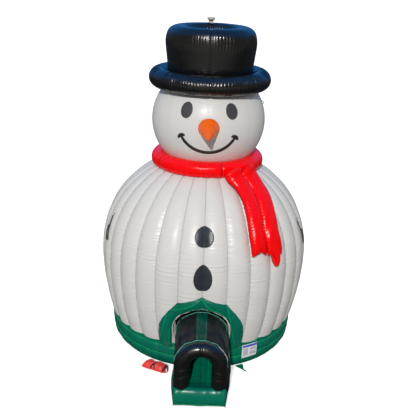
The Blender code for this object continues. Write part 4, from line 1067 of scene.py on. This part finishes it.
def sewn_patch(name, outline, slot, surface, thick=0.010, puff=0.0, crease=0.0, **rest):
    """A sewn-on panel inside an outline; surface(u, v, lift) places its points."""
    share = np.concatenate([[1e-3], np.linspace(0.05, 0.93, 22), [0.975, 1.0, 1.0]])
    lift = np.concatenate([thick + puff * (1 - share[:-3] ** 2), [thick * 0.9, thick * 0.45, -0.004]])
    u, v = np.moveaxis(patch_grid(outline, share), -1, 0)
    lift = lift[:, None] + gathers(np.abs(u), v, 71, crease, 0.10, 7, 18)
    return add_grid(name, surface(u, v, lift), slot, wrap=True, flip=True, **rest)


def make_buttons():
    half = smooth_route(DROP_HALF, 6)
    drop = [*half, *[(-u, v) for u, v in half[::-1] if u > 1e-6], (0.0, 1.972)]
    drop, _ = even_curve([*drop, drop[0]], 0.011)
    for name, outline in (("button_upper", oval(3.055, 0.19, 0.195, 96)), ("button_lower", drop[:-1])):
        sewn_patch(name + "_skin", outline, "black_vinyl", on_body, 0.012, 0.004, crease=0.005,
                   shade="button_slate", replaces=[name])


def on_label(u, v, lift):
    """Points over the base ring, about the label's azimuth."""
    u, v = np.broadcast_arrays(u, v)
    radius = np.interp(v, (0.12, 0.20, 0.28, 0.45, 0.53), (2.025, 2.048, 2.058, 2.062, 2.055))
    return polar(radius + lift, LABEL_AZIMUTH + u / RING_RADIUS, v)


def rectangle(u0, v0, u1, v1, count=10):
    corners = np.array([(u0, v0), (u1, v0), (u1, v1), (u0, v1), (u0, v0)], float)
    steps = np.linspace(0, 1, count, endpoint=False)[:, None]
    return np.concatenate([a + (b - a) * steps for a, b in zip(corners, corners[1:])])


def make_label():
    """The sewn panel, with a band and blank blocks in place of any words."""
    sewn_patch("label_skin", rectangle(-0.19, 0.21, 0.19, 0.52), "label_vinyl", on_label, 0.008,
               replaces=["label_panel"])
    blocks = {"header": (-0.185, 0.462, 0.185, 0.512, "band_blue"),
              "left": (-0.165, 0.27, -0.045, 0.44, "block_grey"),
              "right_top": (0.0, 0.375, 0.165, 0.44, "block_grey"),
              "right_low": (0.0, 0.27, 0.165, 0.345, "block_grey")}
    for name, (*corners, shade) in blocks.items():
        sewn_patch("label_block_" + name, rectangle(*corners), "label_vinyl", on_label, 0.0105, shade=shade)
    for number, v in enumerate((0.217, 0.513)):
        line = on_label(np.linspace(-0.188, 0.188, 40), v, 0.0085)
        tube(f"label_stitch_{number}", line, (0, 0, 1), 0.0022, "label_vinyl", around=6, shade="block_grey")


make_buttons()
make_label()

# ---- entrance tunnel ------------

RAMP_LOW_Z, RAMP_HIGH_Z = 0.40, 0.555
RAMP_SLOPE_Y, RAMP_BACK_Y = -3.06, -2.07
ENTRANCE_REACH = 3.42
ARCH_Y, ARCH_TUBE, ARCH_SPRING_Z = -3.215, 0.15, 0.85
VAULT_STATIONS = ((-3.06, 1.345), (-2.70, 1.43), (-2.35, 1.495), (-2.07, 1.50), (-1.95, 1.48))
RAMP_NOSE = ((0.20, 0.0), (0.09, 0.025), (0.03, 0.08), (0.003, 0.17), (0.0, 0.27), (0.012, 0.35),
             (0.05, 0.408), (0.11, 0.424), (0.19, 0.410), (0.36, 0.40))      # from the front end
ROOF_FRONT_Y, ROOF_BACK_Y = -3.105, -1.95


def ramp_top(y):
    return np.interp(y, (RAMP_SLOPE_Y, RAMP_BACK_Y), (RAMP_LOW_Z, RAMP_HIGH_Z))


def make_ramp():
    """The inflated ramp: an outline along the tunnel, rounded and gathered across it."""
    front = -ENTRANCE_REACH
    outline = [(RAMP_BACK_Y, 0.0), (-2.6, 0.0), *[(front + y, z) for y, z in RAMP_NOSE],
               (-2.8, ramp_top(-2.8)), (-2.4, ramp_top(-2.4)), (RAMP_BACK_Y, RAMP_HIGH_Z)]
    line, run = even_curve([*smooth_route(outline, 10), (RAMP_BACK_Y, 0.3), (RAMP_BACK_Y, 0.0)], 0.0125)
    y, z = line[:, :1], line[:, 1:]
    columns = 150
    across = TUNNEL_HALF * signed_power(bunched(columns)[None, :], 0.9)
    edge = TUNNEL_HALF - np.abs(across)
    middle = np.stack([np.clip(line[:, 0], front + 0.30, RAMP_BACK_Y), np.full(len(line), 0.22)], -1)
    out = unit(line - middle)
    above = (z > 0.02) * 1.0
    floor = (y > front + 0.30) * (z > 0.3) * 1.0
    lip, foot = (away_from(line, run, place) for place in ((front + 0.03, 0.385), (front + 0.025, 0.09)))
    push = -0.035 * np.clip(1 - edge / 0.05, 0, 1) ** 2 * above
    push = push + all_gathers(
        (lip, across, 201, 0.012, 0.10, 1.0, 2.4), (lip, across, 202, 0.0008, 0.05, 3, 6),
        (foot, across, 203, 0.005, 0.05, 4, 10)) - 0.008 * bell(foot, 0.012)
    for number, seam in enumerate((-0.185, 0.0, 0.155)):
        away = np.abs(across - seam)
        push = push + floor * (gathers(away, y, 210 + number, 0.008, 0.07, 4, 9) - 0.016 * bell(away, 0.022))
    push = push + above * 0.006 * ripple(across + 0.4 * run[:, None], 215, 0.5, 2.0)
    side = np.sign(across) * np.clip(1 - edge / 0.02, 0, 1)
    bulge = 0.016 * np.sin(math.pi * np.clip(z / 0.4, 0, 1))
    x = TUNNEL_X + across * (1 - 0.010) + side * (bulge - 0.006)
    flat = xyz(x, y + push * out[:, :1], np.clip(z + push * out[:, 1:], 0, None)).reshape(-1, 3)

    rows = len(line)
    rings, faces = [flat], [grid_quads(rows, columns)[:, ::-1]]
    for sign, first in ((-1, 0), (1, columns - 1)):       # the bulged sides, ring by ring to a hub
        inner = border = np.arange(rows) * columns + first
        hub = np.array((TUNNEL_X + sign * TUNNEL_HALF, -2.7, 0.2))
        for step in (0.06, 0.15, 0.3, 0.5, 0.75, 0.9999):
            ring = flat[border] * (1 - step) + hub * step
            ring[:, 0] = flat[border][:, 0] + sign * 0.060 * (1 - (1 - step) ** 1.6)
            new = np.arange(rows) + sum(map(len, rings))
            rings.append(ring)
            strip = np.stack([inner[:-1], inner[1:], new[1:], new[:-1]], -1)
            faces.append(strip if sign < 0 else strip[:, ::-1])
            inner = new
    add_piece("ramp_skin", np.concatenate(rings), np.concatenate(faces), "green_vinyl",
              replaces=["entrance_ramp"], sharp=60)


def make_ramp_seams():
    front = -ENTRANCE_REACH
    for hand, offset, sway, waves in (("left", -0.185, 0.01, 5), ("right", 0.155, 0.008, 4)):
        route = [(TUNNEL_X + offset + sway * math.sin(waves * y), y, ramp_top(y) - 0.008)
                 for y in np.arange(-3.14, -2.08, 0.03)]
        green_seam("ramp_seam_floor_" + hand, route, (1, 0, 0), 0.007)
    route = [(x, front + 0.014 + 0.004 * math.sin(9 * x), 0.095)
             for x in np.arange(TUNNEL_X - 0.49, TUNNEL_X + 0.491, 0.03)]
    green_seam("ramp_seam_bumper", route, (0, 0, 1), 0.007)
    edge = ((0.012, front + 0.05, 0.03), (0.008, front + 0.018, 0.20), (0.014, front + 0.07, 0.355),
            (0.012, front + 0.24, 0.375), (0.012, -2.9, 0.39), (0.012, -2.1, 0.52))
    for hand, sign in (("left", -1), ("right", 1)):
        route = smooth_route([(TUNNEL_X + sign * (TUNNEL_HALF - inset), y, z) for inset, y, z in edge], 8)
        green_seam("ramp_edge_" + hand, route, (1, 0, 0), 0.007, shade=None)
    # dark marks along the middle seam: painted shade of its stitch holes
    for number in range(14):
        x, y = TUNNEL_X + 0.004 * math.sin(7 * number), -3.10 + 0.072 * number
        z = ramp_top(y) - 0.013
        tube(f"ramp_stitch_{number:02d}", [(x, y - 0.018, z), (x + 0.002, y, z + 0.002), (x, y + 0.018, z)],
             (1, 0, 0), (0.006, 0.010, 0.006), "green_vinyl", shade="hole_dark")


def make_arch():
    reach = TUNNEL_HALF - ARCH_TUBE
    legs = [[(TUNNEL_X + sign * reach, ARCH_Y, z) for z in (RAMP_LOW_Z - 0.02, 0.62)] for sign in (-1, 1)]
    turn = np.radians(np.arange(180, -1, -10))
    bow = xyz(TUNNEL_X + reach * np.cos(turn), ARCH_Y, ARCH_SPRING_Z + reach * np.sin(turn))
    path, run = even_curve(smooth_route([*legs[0], *bow, *legs[1][::-1]], 6), 0.009)
    around = 72
    angle = loop_angles(around)[None, :]
    seams = np.abs(run - run[-1] / 2)[:, None]
    radius = ARCH_TUBE + 0.008 - 0.014 * bell(seams, 0.02) * np.ones((1, around))
    for number, place in enumerate((0.30, 0.42)):         # where each leg buckles a little
        for hand, at in enumerate((place, run[-1] - place)):
            bent = np.abs(run[:, None] - at - 0.05 * np.sin(angle + number + 2 * hand))
            radius -= 0.008 * bell(bent, 0.014)
    sides, normals = frames_along(path, (0, -1, 0))
    inward = np.array((TUNNEL_X, ARCH_Y, ARCH_SPRING_Z)) - path
    inner = np.sign(np.sum(normals * inward, axis=1))[:, None] * np.sin(angle)
    inside_edge, outside_edge = (np.arccos(np.clip(way * inner, -1, 1)) * ARCH_TUBE for way in (1, -1))
    radius += all_gathers((inside_edge, run[:, None], 221, 0.010, 0.13, 6, 12),
                          (outside_edge, run[:, None], 222, 0.005, 0.10, 3, 7),
                          (np.abs(outside_edge - 0.14), run[:, None], 223, 0.0012, 0.06, 4, 9))
    radius -= 0.006 * bell(np.minimum(run, run[-1] - run)[:, None], 0.02)
    points = with_ends(rings_round(path, sides, normals, radius, around), path[0], path[-1])
    seam = np.repeat(np.pad(bell(seams, 0.008), ((1, 1), (0, 0)), "edge"), around, axis=1)
    add_grid("arch_skin", points, "black_vinyl", wrap=True, flip=True, replaces=["entrance_arch"], seam=seam)


def vault_line(y, lift=0.0):
    """The roof's outline across the tunnel, from its left foot over the top to its right foot."""
    top = float(np.interp(y, *zip(*VAULT_STATIONS)))
    spring = top - 0.42
    half = TUNNEL_HALF - 0.002
    bottom = float(ramp_top(y)) - 0.045
    right = [(half, bottom), (half + 0.004, (bottom + spring) / 2), (half, spring),
             (half * 0.93, spring + 0.17), (half * 0.70, spring + 0.30), (half * 0.40, spring + 0.385),
             (0.105, top)]
    far = [(-u, v) for u, v in right] + [(0.0, top + 0.002)] + right[::-1]
    turn = np.radians((180, 180, 180, 157, 130, 108, 97, 90, 83, 72, 50, 23, 0, 0, 0))
    leg = [bottom, (bottom + ARCH_SPRING_Z) / 2]
    reach = float(np.interp(y, (-3.11, -3.06, -2.98), (0.478, 0.512, 0.522)))
    near = np.stack([0.522 * np.cos(turn), np.array([*leg, *[ARCH_SPRING_Z] * 11, *leg[::-1]])
                     + reach * np.sin(turn)], -1)
    share = float(np.clip((-2.80 - y) / 0.26, 0, 1))
    line, _ = even_curve(smooth_route(np.array(far) * (1 - share) + near * share, 10), 0.008)
    out = unit(np.stack([-np.gradient(line[:, 1]), np.gradient(line[:, 0])], -1))
    return line + lift * out, out


def make_roof():
    rows = np.arange(ROOF_FRONT_Y, ROOF_BACK_Y + 0.001, 0.0125)
    share = np.linspace(0, 1, 260)
    along = share * 3.1
    hang = 0.5 + 0.5 * np.cos(math.tau * (share - 0.5))
    points = []
    for y in rows:
        line, out = vault_line(y)
        pick = np.linspace(0, 1, len(line))
        across, outward = (sampled(share, pick, values) for values in (line, out))
        stretch = (y - ROOF_FRONT_Y) / (rows[-1] - ROOF_FRONT_Y)
        slack = math.sin(math.pi * min(max(stretch, 0.0), 1.0)) ** 0.6
        fold = (0.011 * ripple(along + 0.10 * y, 231, 1.2, 3.0, 6)
                + 0.010 * ripple(along - 0.10 * y, 232, 3.0, 6.0, 6)
                + 0.003 * ripple(along * 0.6 + 1.3 * y, 233, 1.5, 4.0, 5))
        ends = all_gathers((y - ROOF_FRONT_Y, along, 234, 0.010, 0.16, 5, 12),
                           (ROOF_BACK_Y - y, along, 235, 0.008, 0.16, 4, 9))
        moved = across + outward * (slack * (fold - 0.016 * hang) + ends)[:, None]
        points.append(xyz(TUNNEL_X + moved[:, 0], y, moved[:, 1]))
    points = np.array(points)
    piece = add_grid("roof_sheet", points, "black_vinyl", shade="roof_black", replaces=["tunnel_roof"])
    thicken(piece, 0.003, -1.0)
    return points


def make_roof_trims(roof):
    """The stripe along the top of the roof, the piped seams across it and the cloth edge on its right."""
    on_top = (np.abs(roof[:, :, 0] - TUNNEL_X) < 0.112) & (roof[:, :, 2] > 1.1)
    keep = np.where(on_top.all(axis=0))[0]
    strip = roof[:, keep[0]:keep[-1] + 1].copy()
    place = np.arange(strip.shape[1])
    edge = np.minimum(place, place[::-1])[None, :]
    strip[..., 2] += 0.009 - 0.007 * (edge == 0)
    line = np.repeat(0.35 * bell(edge - 1.5, 0.8), len(strip), axis=0)
    add_grid("stripe_sheet", strip, "green_vinyl", replaces=["roof_stripe"], seam=line, shade="stripe_green")

    rows_y = roof[:, 0, 1]
    far_y = float(rows_y[int(np.argmin(np.abs(rows_y + 2.27)))])
    outline, _ = vault_line(far_y, 0.004)
    line = xyz(TUNNEL_X + outline[:, 0], far_y, outline[:, 1])
    green_seam("roof_piping_far", line[10:-10:3], (0, -1, 0), 0.005, shade="piping_mint")
    near = roof[1].copy()
    outward = unit((near - (TUNNEL_X, 0.0, 0.85)) * (1, 0, 1))
    scallop = np.abs(np.sin(math.pi * (np.linspace(0, 1, len(near)) * 13 + 0.5)))
    lifted = near + outward * (0.004 + 0.012 * scallop * np.clip((near[:, 2] - 1.05) / 0.15, 0, 1))[:, None]
    lifted[:, 1] -= 0.006
    green_seam("roof_piping_near", lifted[near[:, 2] > 0.70][::2], (0, -1, 0), 0.007, shade="piping_mint")
    right = near[(near[:, 0] > TUNNEL_X) & (near[:, 2] < 1.22)] + (0.010, -0.010, 0.0)
    tube("roof_edge_right", right[::3], (0, -1, 0), 0.006, "white_vinyl", around=6)


def make_side_skirt():
    """The slack black cloth that bows out on the tunnel's right side."""
    rows = []
    for y in np.arange(-3.20, -2.04, 0.03):
        bow = 0.075 * math.sin(math.pi * (y + 3.20) / 1.16) ** 0.8 + 0.020
        heights = np.linspace(0.035, ramp_top(y) + 0.35, 26)
        x = TUNNEL_X + TUNNEL_HALF + bow * np.sin(np.linspace(0.35, math.pi * 0.96, 26)) ** 0.7
        wave = 0.004 * ripple(heights * 2 + y, 241, 0.5, 2.5)
        rows.append(xyz(x + wave, y, heights))
    thicken(add_grid("side_skirt_right", np.array(rows), "black_vinyl"), 0.003, 0.0)


make_ramp()
make_ramp_seams()
make_arch()
make_roof_trims(make_roof())
make_side_skirt()

# ---- sandbag and anchor tabs ------------

BAG_AZIMUTH = math.radians(-25.0)
BAG_RADIUS = 2.225


def bag_place(along, depth, height):
    """Points about the bag's middle: along its length, away from the bouncer, and up."""
    side, out = across_and_out(BAG_AZIMUTH)
    along, depth, height = np.broadcast_arrays(along, depth, height)
    return (BAG_RADIUS * out + along[..., None] * side + depth[..., None] * out
            + height[..., None] * np.array((0.0, 0.0, 1.0)))


BAG_HALF = 0.30                      # half of its length


def bag_surface(along, angle, lift=0.0):
    """The filled bag: slumped flat below, rounded above, pinched at its ends and under its strap."""
    width = np.interp(along, (-0.30, -0.285, -0.25, -0.15, -0.03, 0.08, 0.2, 0.26, 0.29, 0.30),
                      (0.035, 0.075, 0.112, 0.130, 0.122, 0.128, 0.130, 0.105, 0.06, 0.03))
    height = np.interp(along, (-0.30, -0.285, -0.25, -0.15, -0.005, 0.08, 0.2, 0.26, 0.29, 0.30),
                       (0.020, 0.050, 0.098, 0.140, 0.124, 0.142, 0.126, 0.090, 0.045, 0.018))
    across, up = np.cos(angle), np.sin(angle)
    rise = np.where(up > 0, 0.36 + 0.64 * np.abs(up) ** 0.85, 0.36 * (1 - np.abs(up) ** 0.55))
    lumps = (0.006 * ripple(along + 0.06 * across, 251, 3, 8)
             + 0.005 * ripple(along + 0.3 * across, 252, 7, 15))
    end = np.clip(1 - np.abs(along) / BAG_HALF, 0, 1)
    gather = gathers(BAG_HALF - np.abs(along), angle * 0.1, 253, 0.010, 0.09, 8, 18)
    swell = (lumps * (up > -0.2) + gather) * np.clip(end * 8, 0, 1) + lift
    return bag_place(along, (width + swell) * signed_power(across, 0.75),
                     np.clip((height + swell) * rise, 0.001, None))


def bag_strap(name, route, half_width, slot="webbing", **rest):
    """A flat band over the bag, along a route of (place along the bag, angle round it)."""
    bag_girth = 0.12
    route, _ = even_curve(smooth_route(route, 8), 0.006)
    where, turn = route.T
    ahead = unit(np.stack([np.gradient(where), np.gradient(turn) * bag_girth], -1))
    across = mirrored((-1.0, -1.0, -0.5, 0.0), -1) * half_width
    rise = mirrored((0.001, 0.007, 0.008, 0.008))
    surface = bag_surface(where[:, None] - ahead[:, 1:] * across,
                          turn[:, None] + ahead[:, :1] * across / bag_girth, rise[None, :])
    add_grid(name, surface, slot, body="sandbag_body", **rest)


def make_sandbag():
    points = bag_surface(BAG_HALF * bunched(110)[:, None], loop_angles(72)[None, :])
    first, last = points[[0, -1]].mean(axis=1)
    bag = add_grid("bag_skin", with_ends(points, first, last), "sandbag_vinyl", wrap=True,
                   body="sandbag_body", replaces=["sandbag"])
    bag_strap("bag_strap_v", ((-0.045, 0.10), (-0.035, 0.6), (-0.02, 1.1), (0.0, 1.7), (0.01, 2.3),
                              (0.012, 3.0)), 0.016, replaces=["sandbag_strap"])
    bag_strap("bag_strap_v2", ((0.045, 0.15), (0.035, 0.55), (0.015, 1.0), (0.0, 1.45)), 0.013)
    bag_strap("bag_strap_end", ((0.235, 0.05), (0.24, 0.8), (0.242, 1.6), (0.24, 2.4), (0.235, 3.1)), 0.018)
    bag_strap("bag_spot", ((0.165, 0.85), (0.185, 0.88)), 0.014, "sandbag_vinyl", shade="spot_pale")
    tag = [bag_place(0.275 + 0.01 * k, 0.02 + 0.012 * k, 0.085 - 0.016 * k) for k in range(5)]
    tube("bag_tag", tag, (0, 0, 1), (0.012, 0.016, 0.016, 0.014, 0.010), "sandbag_vinyl",
         body="sandbag_body", shade="spot_pale")


TABS = {"front_right": 25.5, "rear_right": 154.5, "rear_left": -154.5}
TAB_START = 1.96


def make_tab(place_name, degrees):
    """A tab of doubled vinyl that narrows to a pull tail, with a hem and a sewn cross."""
    side, out = across_and_out(math.radians(degrees))
    run = np.linspace(0, 0.305, 74)
    half = np.interp(run, (0, 0.07, 0.12, 0.17, 0.20, 0.29, 0.305),
                     (0.085, 0.075, 0.053, 0.030, 0.016, 0.014, 0.009))
    bend = 0.028 * np.clip((run - 0.16) / 0.14, 0, 1) ** 1.6
    across = mirrored((-1.0, -1.0, -0.93, -0.8, -0.7, -0.35, 0.0), -1)
    hem = mirrored((0.0005, 0.004, 0.0062, 0.0062, 0.005, 0.005, 0.005))
    wave = 0.5 + 0.5 * ripple(run[:, None] * 1.5 + 0.3 * across[None, :], 261, 1, 5)
    lift = hem + 0.0035 * (1 - np.exp(-run / 0.03))[:, None] * wave
    lift[0] = 0.0005
    width = half[:, None] * across[None, :] + bend[:, None]
    points = ((TAB_START + run)[:, None, None] * out + width[..., None] * side
              + np.clip(lift, 0.0005, None)[..., None] * np.array((0, 0, 1.0)))
    body = "tab_" + place_name
    seam = np.repeat(0.6 * bell(np.abs(across) - 0.75, 0.06)[None, :], len(run), axis=0)
    piece = add_grid("tab_cloth_" + place_name, points, "green_vinyl", flip=True, body=body,
                     replaces=["anchor_tab_" + place_name], seam=seam)
    thicken(piece, 0.0015, 1.0)
    steps = np.linspace(0, 1, 14)[:, None]
    for number, sign in enumerate((-1, 1)):
        line = ((TAB_START + 0.02 + 0.065 * steps) * out + sign * 0.045 * (1 - 2 * steps) * side
                + np.array((0, 0, 0.0105)))
        green_seam(f"tab_stitch_{place_name}_{number}", line, (0, 0, 1), 0.0016, body=body)


make_sandbag()
for tab_name, tab_azimuth in TABS.items():
    make_tab(tab_name, tab_azimuth)


# ---- rear: sleeve, blower, zipper ------------

SLEEVE_END_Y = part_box("inflation_sleeve")[1].y
BLOWER_AXIS_Z = 0.29


def make_sleeve():
    """The cloth sleeve between the bouncer and the blower, slack and creased."""
    duct_z = BLOWER_AXIS_Z + (-0.245 - 0.085) / 2
    stations = np.array((                # y, middle height, half width, half height, squareness
        (2.075, 0.25, 0.17, 0.165, 0.0), (2.25, 0.21, 0.165, 0.15, 0.1), (2.50, 0.165, 0.16, 0.13, 0.4),
        (SLEEVE_END_Y - 0.14, duct_z, 0.155, 0.113, 0.8), (SLEEVE_END_Y - 0.11, duct_z, 0.152, 0.112, 0.8),
        (SLEEVE_END_Y, duct_z, 0.154, 0.114, 0.8)))
    y = np.linspace(stations[0, 0], stations[-1, 0], 110)[:, None]
    middle, half_width, half_height, square = (np.interp(y, stations[:, 0], stations[:, i])
                                               for i in range(1, 5))
    angle = loop_angles(96)[None, :]
    across, upward = (signed_power(way, 1.0 - 0.55 * square) for way in (np.cos(angle), np.sin(angle)))
    free = np.clip((SLEEVE_END_Y - 0.13 - y) / 0.12, 0, 1) * np.clip((y - 2.08) / 0.1, 0, 1)
    around = angle * 0.16
    fold = free * (0.008 * ripple(around + 0.25 * y, 301, 2, 7) - 0.008)
    strap = np.abs(y - (SLEEVE_END_Y - 0.04))
    pinch = gathers(strap, around, 302, 0.007, 0.14, 14, 30) * (y < SLEEVE_END_Y - 0.06)
    size = 1 + (fold + pinch) / 0.15
    height = np.clip(middle + half_height * size * upward, 0.002, None)
    points = xyz(half_width * size * across, y, height)
    piece = add_grid("sleeve_cloth", points, "sleeve_fabric", wrap=True, flip=True,
                     replaces=["inflation_sleeve"])
    thicken(piece, 0.002, -1.0)
    tube("sleeve_seam", points[::2, 24] + (0, 0, 0.003), (1, 0, 0), 0.0035, "sleeve_fabric", around=6)


def make_blower_details():
    """Screws round the blower's two halves, a grille ring on each side and the strap's buckle."""
    axis_y = sum(corner.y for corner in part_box("impeller")) / 2
    turn = np.linspace(0, math.tau, 61)
    for hand, sign, corner in (("left", -1, 0), ("right", 1, 1)):
        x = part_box("blower_housing_" + hand)[corner].x
        for number, degrees in enumerate((20, 75, 130, 185, 240)):
            angle, reach = math.radians(degrees), 0.150 + 0.012 * number
            y, z = axis_y - reach * math.cos(angle), BLOWER_AXIS_Z + reach * math.sin(angle)
            screw = [(x + sign * depth, y, z) for depth in (-0.004, 0.0, 0.003, 0.0042)]
            tube(f"housing_screw_{hand}_{number}", screw, (0, 0, 1), (0.008, 0.008, 0.0075, 0.005), "steel",
                 around=12)
        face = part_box("intake_grille_" + hand)[corner].x
        for number, ring in enumerate((0.108, 0.028)):
            circle = xyz(face, axis_y + ring * np.cos(turn), BLOWER_AXIS_Z + ring * np.sin(turn))
            tube(f"grille_ring_{hand}_{number}", circle, (1, 0, 0), 0.0035, "dark_plastic")
    low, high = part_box("sleeve_strap")
    buckle = [(high.x + 0.002, low.y + 0.004, 0.10), (high.x + 0.004, low.y + 0.02, 0.10),
              (high.x + 0.002, high.y - 0.004, 0.10)]
    tube("strap_buckle", buckle, (0, 0, 1), (0.008, 0.012, 0.008), "steel", around=10)


def zipper_radius(z):
    """The tape's outer face, halfway between the body's facets."""
    curve = (1.05, 1.55)
    low, high = (float(body_radius(height)) for height in curve)
    return (low + (high - low) * (z - curve[0]) / (curve[1] - curve[0])) * 0.9925 + 0.0085


def make_zipper():
    """Teeth and stitch lines down the deflation zipper's tape."""
    azimuth = 23.5 * GORE / 2
    z = np.arange(1.105, 1.500, 0.0085)
    for number, height in enumerate(z):
        r = zipper_radius(height)
        across = np.array((-0.007, 0.0, 0.007))
        line = polar(r + 0.0005, azimuth + across / r, height + 0.0015 * (number % 2))
        tube(f"zipper_tooth_{number:02d}", line, (0, 0, 1), 0.0022, "zipper_tape", around=6)
    r = zipper_radius(z)
    for hand, offset in (("left", -0.019), ("right", 0.019)):
        line = polar(r + 0.0015, azimuth + offset / r, z)
        tube("zipper_stitch_" + hand, line, (1, 0, 0), 0.0013, "white_vinyl", around=6)


make_sleeve()
make_blower_details()
make_zipper()

# ---- carried-over pieces, light and floor ------------

def dress_frame():
    """Give every carried-over CAD node its slot's material."""
    for part in frame["record"]["subparts"]:
        node = frame["nodes"].get(part["node"])
        for held in node.material_slots if node else ():
            name = held.material.name.split(".")[0] if held.material else ""
            held.material = MATERIALS.get(name) or MATERIALS[part_slot(part)]


def part_slot(part):
    return part.get("material_slot") or part.get("slot") or "dark_plastic"


def colour_ramp(nodes, value, stops):
    made = add_node(nodes, "ValToRGB", Fac=value)
    elements = made.color_ramp.elements
    while len(elements) < len(stops):
        elements.new(0.5)
    for element, (position, colour) in zip(elements, stops):
        element.position, element.color = position, (*colour, 1.0)
    return made.outputs["Color"]


def world_light():
    world = bpy.data.worlds.new("light")
    bpy.context.scene.world = world
    world.use_nodes = True
    nodes = world.node_tree.nodes
    path = nodes.new("ShaderNodeLightPath").outputs
    place = add_node(nodes, "TexCoord").outputs["Generated"]
    tilt = add_node(nodes, "Mapping", {"vector_type": "NORMAL"}, Vector=place,
                    Rotation=(math.radians(22.0), 0.0, 0.0)).outputs["Vector"]
    sky = colour_ramp(nodes, add_node(nodes, "SeparateXYZ", Vector=tilt).outputs["Z"], (
        (0.0, (0.15, 0.12, 0.09)), (0.08, (0.17, 0.145, 0.115)), (0.28, (0.13, 0.17, 0.27)),
        (0.60, (0.045, 0.33, 0.90)), (1.0, (0.035, 0.20, 0.52))))
    depth = add_node(nodes, "SeparateXYZ", Vector=place).outputs["Y"]
    around = colour_ramp(nodes, mapped(nodes, depth, 0.0, 1.0, (-1.0, 1.0)), (
        (0.0, (0.15, 0.15, 0.17)), (0.3, (0.24, 0.245, 0.26)), (0.5, (0.60, 0.60, 0.61)),
        (1.0, (0.80, 0.80, 0.81))))
    soft = mixed(nodes, path["Is Diffuse Ray"], sky, around)
    fill(nodes["Background"], Color=mixed(nodes, path["Is Camera Ray"], soft, (1.0, 1.0, 1.0)), Strength=1.0)

    sun = bpy.data.lights.new("sun", "SUN")
    sun.energy = 2.6
    sun.angle = math.radians(2.0)
    sun.color = (1.0, 0.985, 0.955)
    lamp = bpy.data.objects.new("sun", sun)
    travel = Vector((0.115, 0.875, -0.495)).normalized()
    lamp.rotation_euler = travel.to_track_quat("-Z", "Y").to_euler()
    bpy.context.scene.collection.objects.link(lamp)


def make_stage():
    """A white floor to the camera, and one that is darker near the tunnel to reflections."""
    mesh = bpy.data.meshes.new("floor")
    size = 150.0
    mesh.from_pydata([(-size, -size, 0), (size, -size, 0), (size, size, 0), (-size, size, 0)], [],
                     [(0, 1, 2, 3)])
    floor = bpy.data.objects.new("floor", mesh)
    floor.location.z = -0.002
    bpy.context.scene.collection.objects.link(floor)
    made, nodes = new_material("floor")
    path = nodes.new("ShaderNodeLightPath").outputs
    place = add_node(nodes, "SeparateXYZ", Vector=add_node(nodes, "TexCoord").outputs["Object"])
    away = mapped(nodes, place.outputs["Y"], 0.0, 1.0, (-6.0, -17.0))
    seen = mixed(nodes, away, (0.035, 0.035, 0.033), (0.36, 0.345, 0.32))
    ground = mixed(nodes, path["Is Glossy Ray"], (0.36, 0.345, 0.31), seen)
    fill(nodes["Principled BSDF"], Roughness=0.9, Emission_Color=(1, 1, 1, 1),
         Base_Color=mixed(nodes, path["Is Camera Ray"], ground, (0.8, 0.8, 0.8)),
         Emission_Strength=mapped(nodes, path["Is Camera Ray"], 0.0, 0.62, (0.0, 1.0)))
    mesh.materials.append(made)


dress_frame()
world_light()
make_stage()
bpy.context.scene.view_settings.view_transform = "Standard"
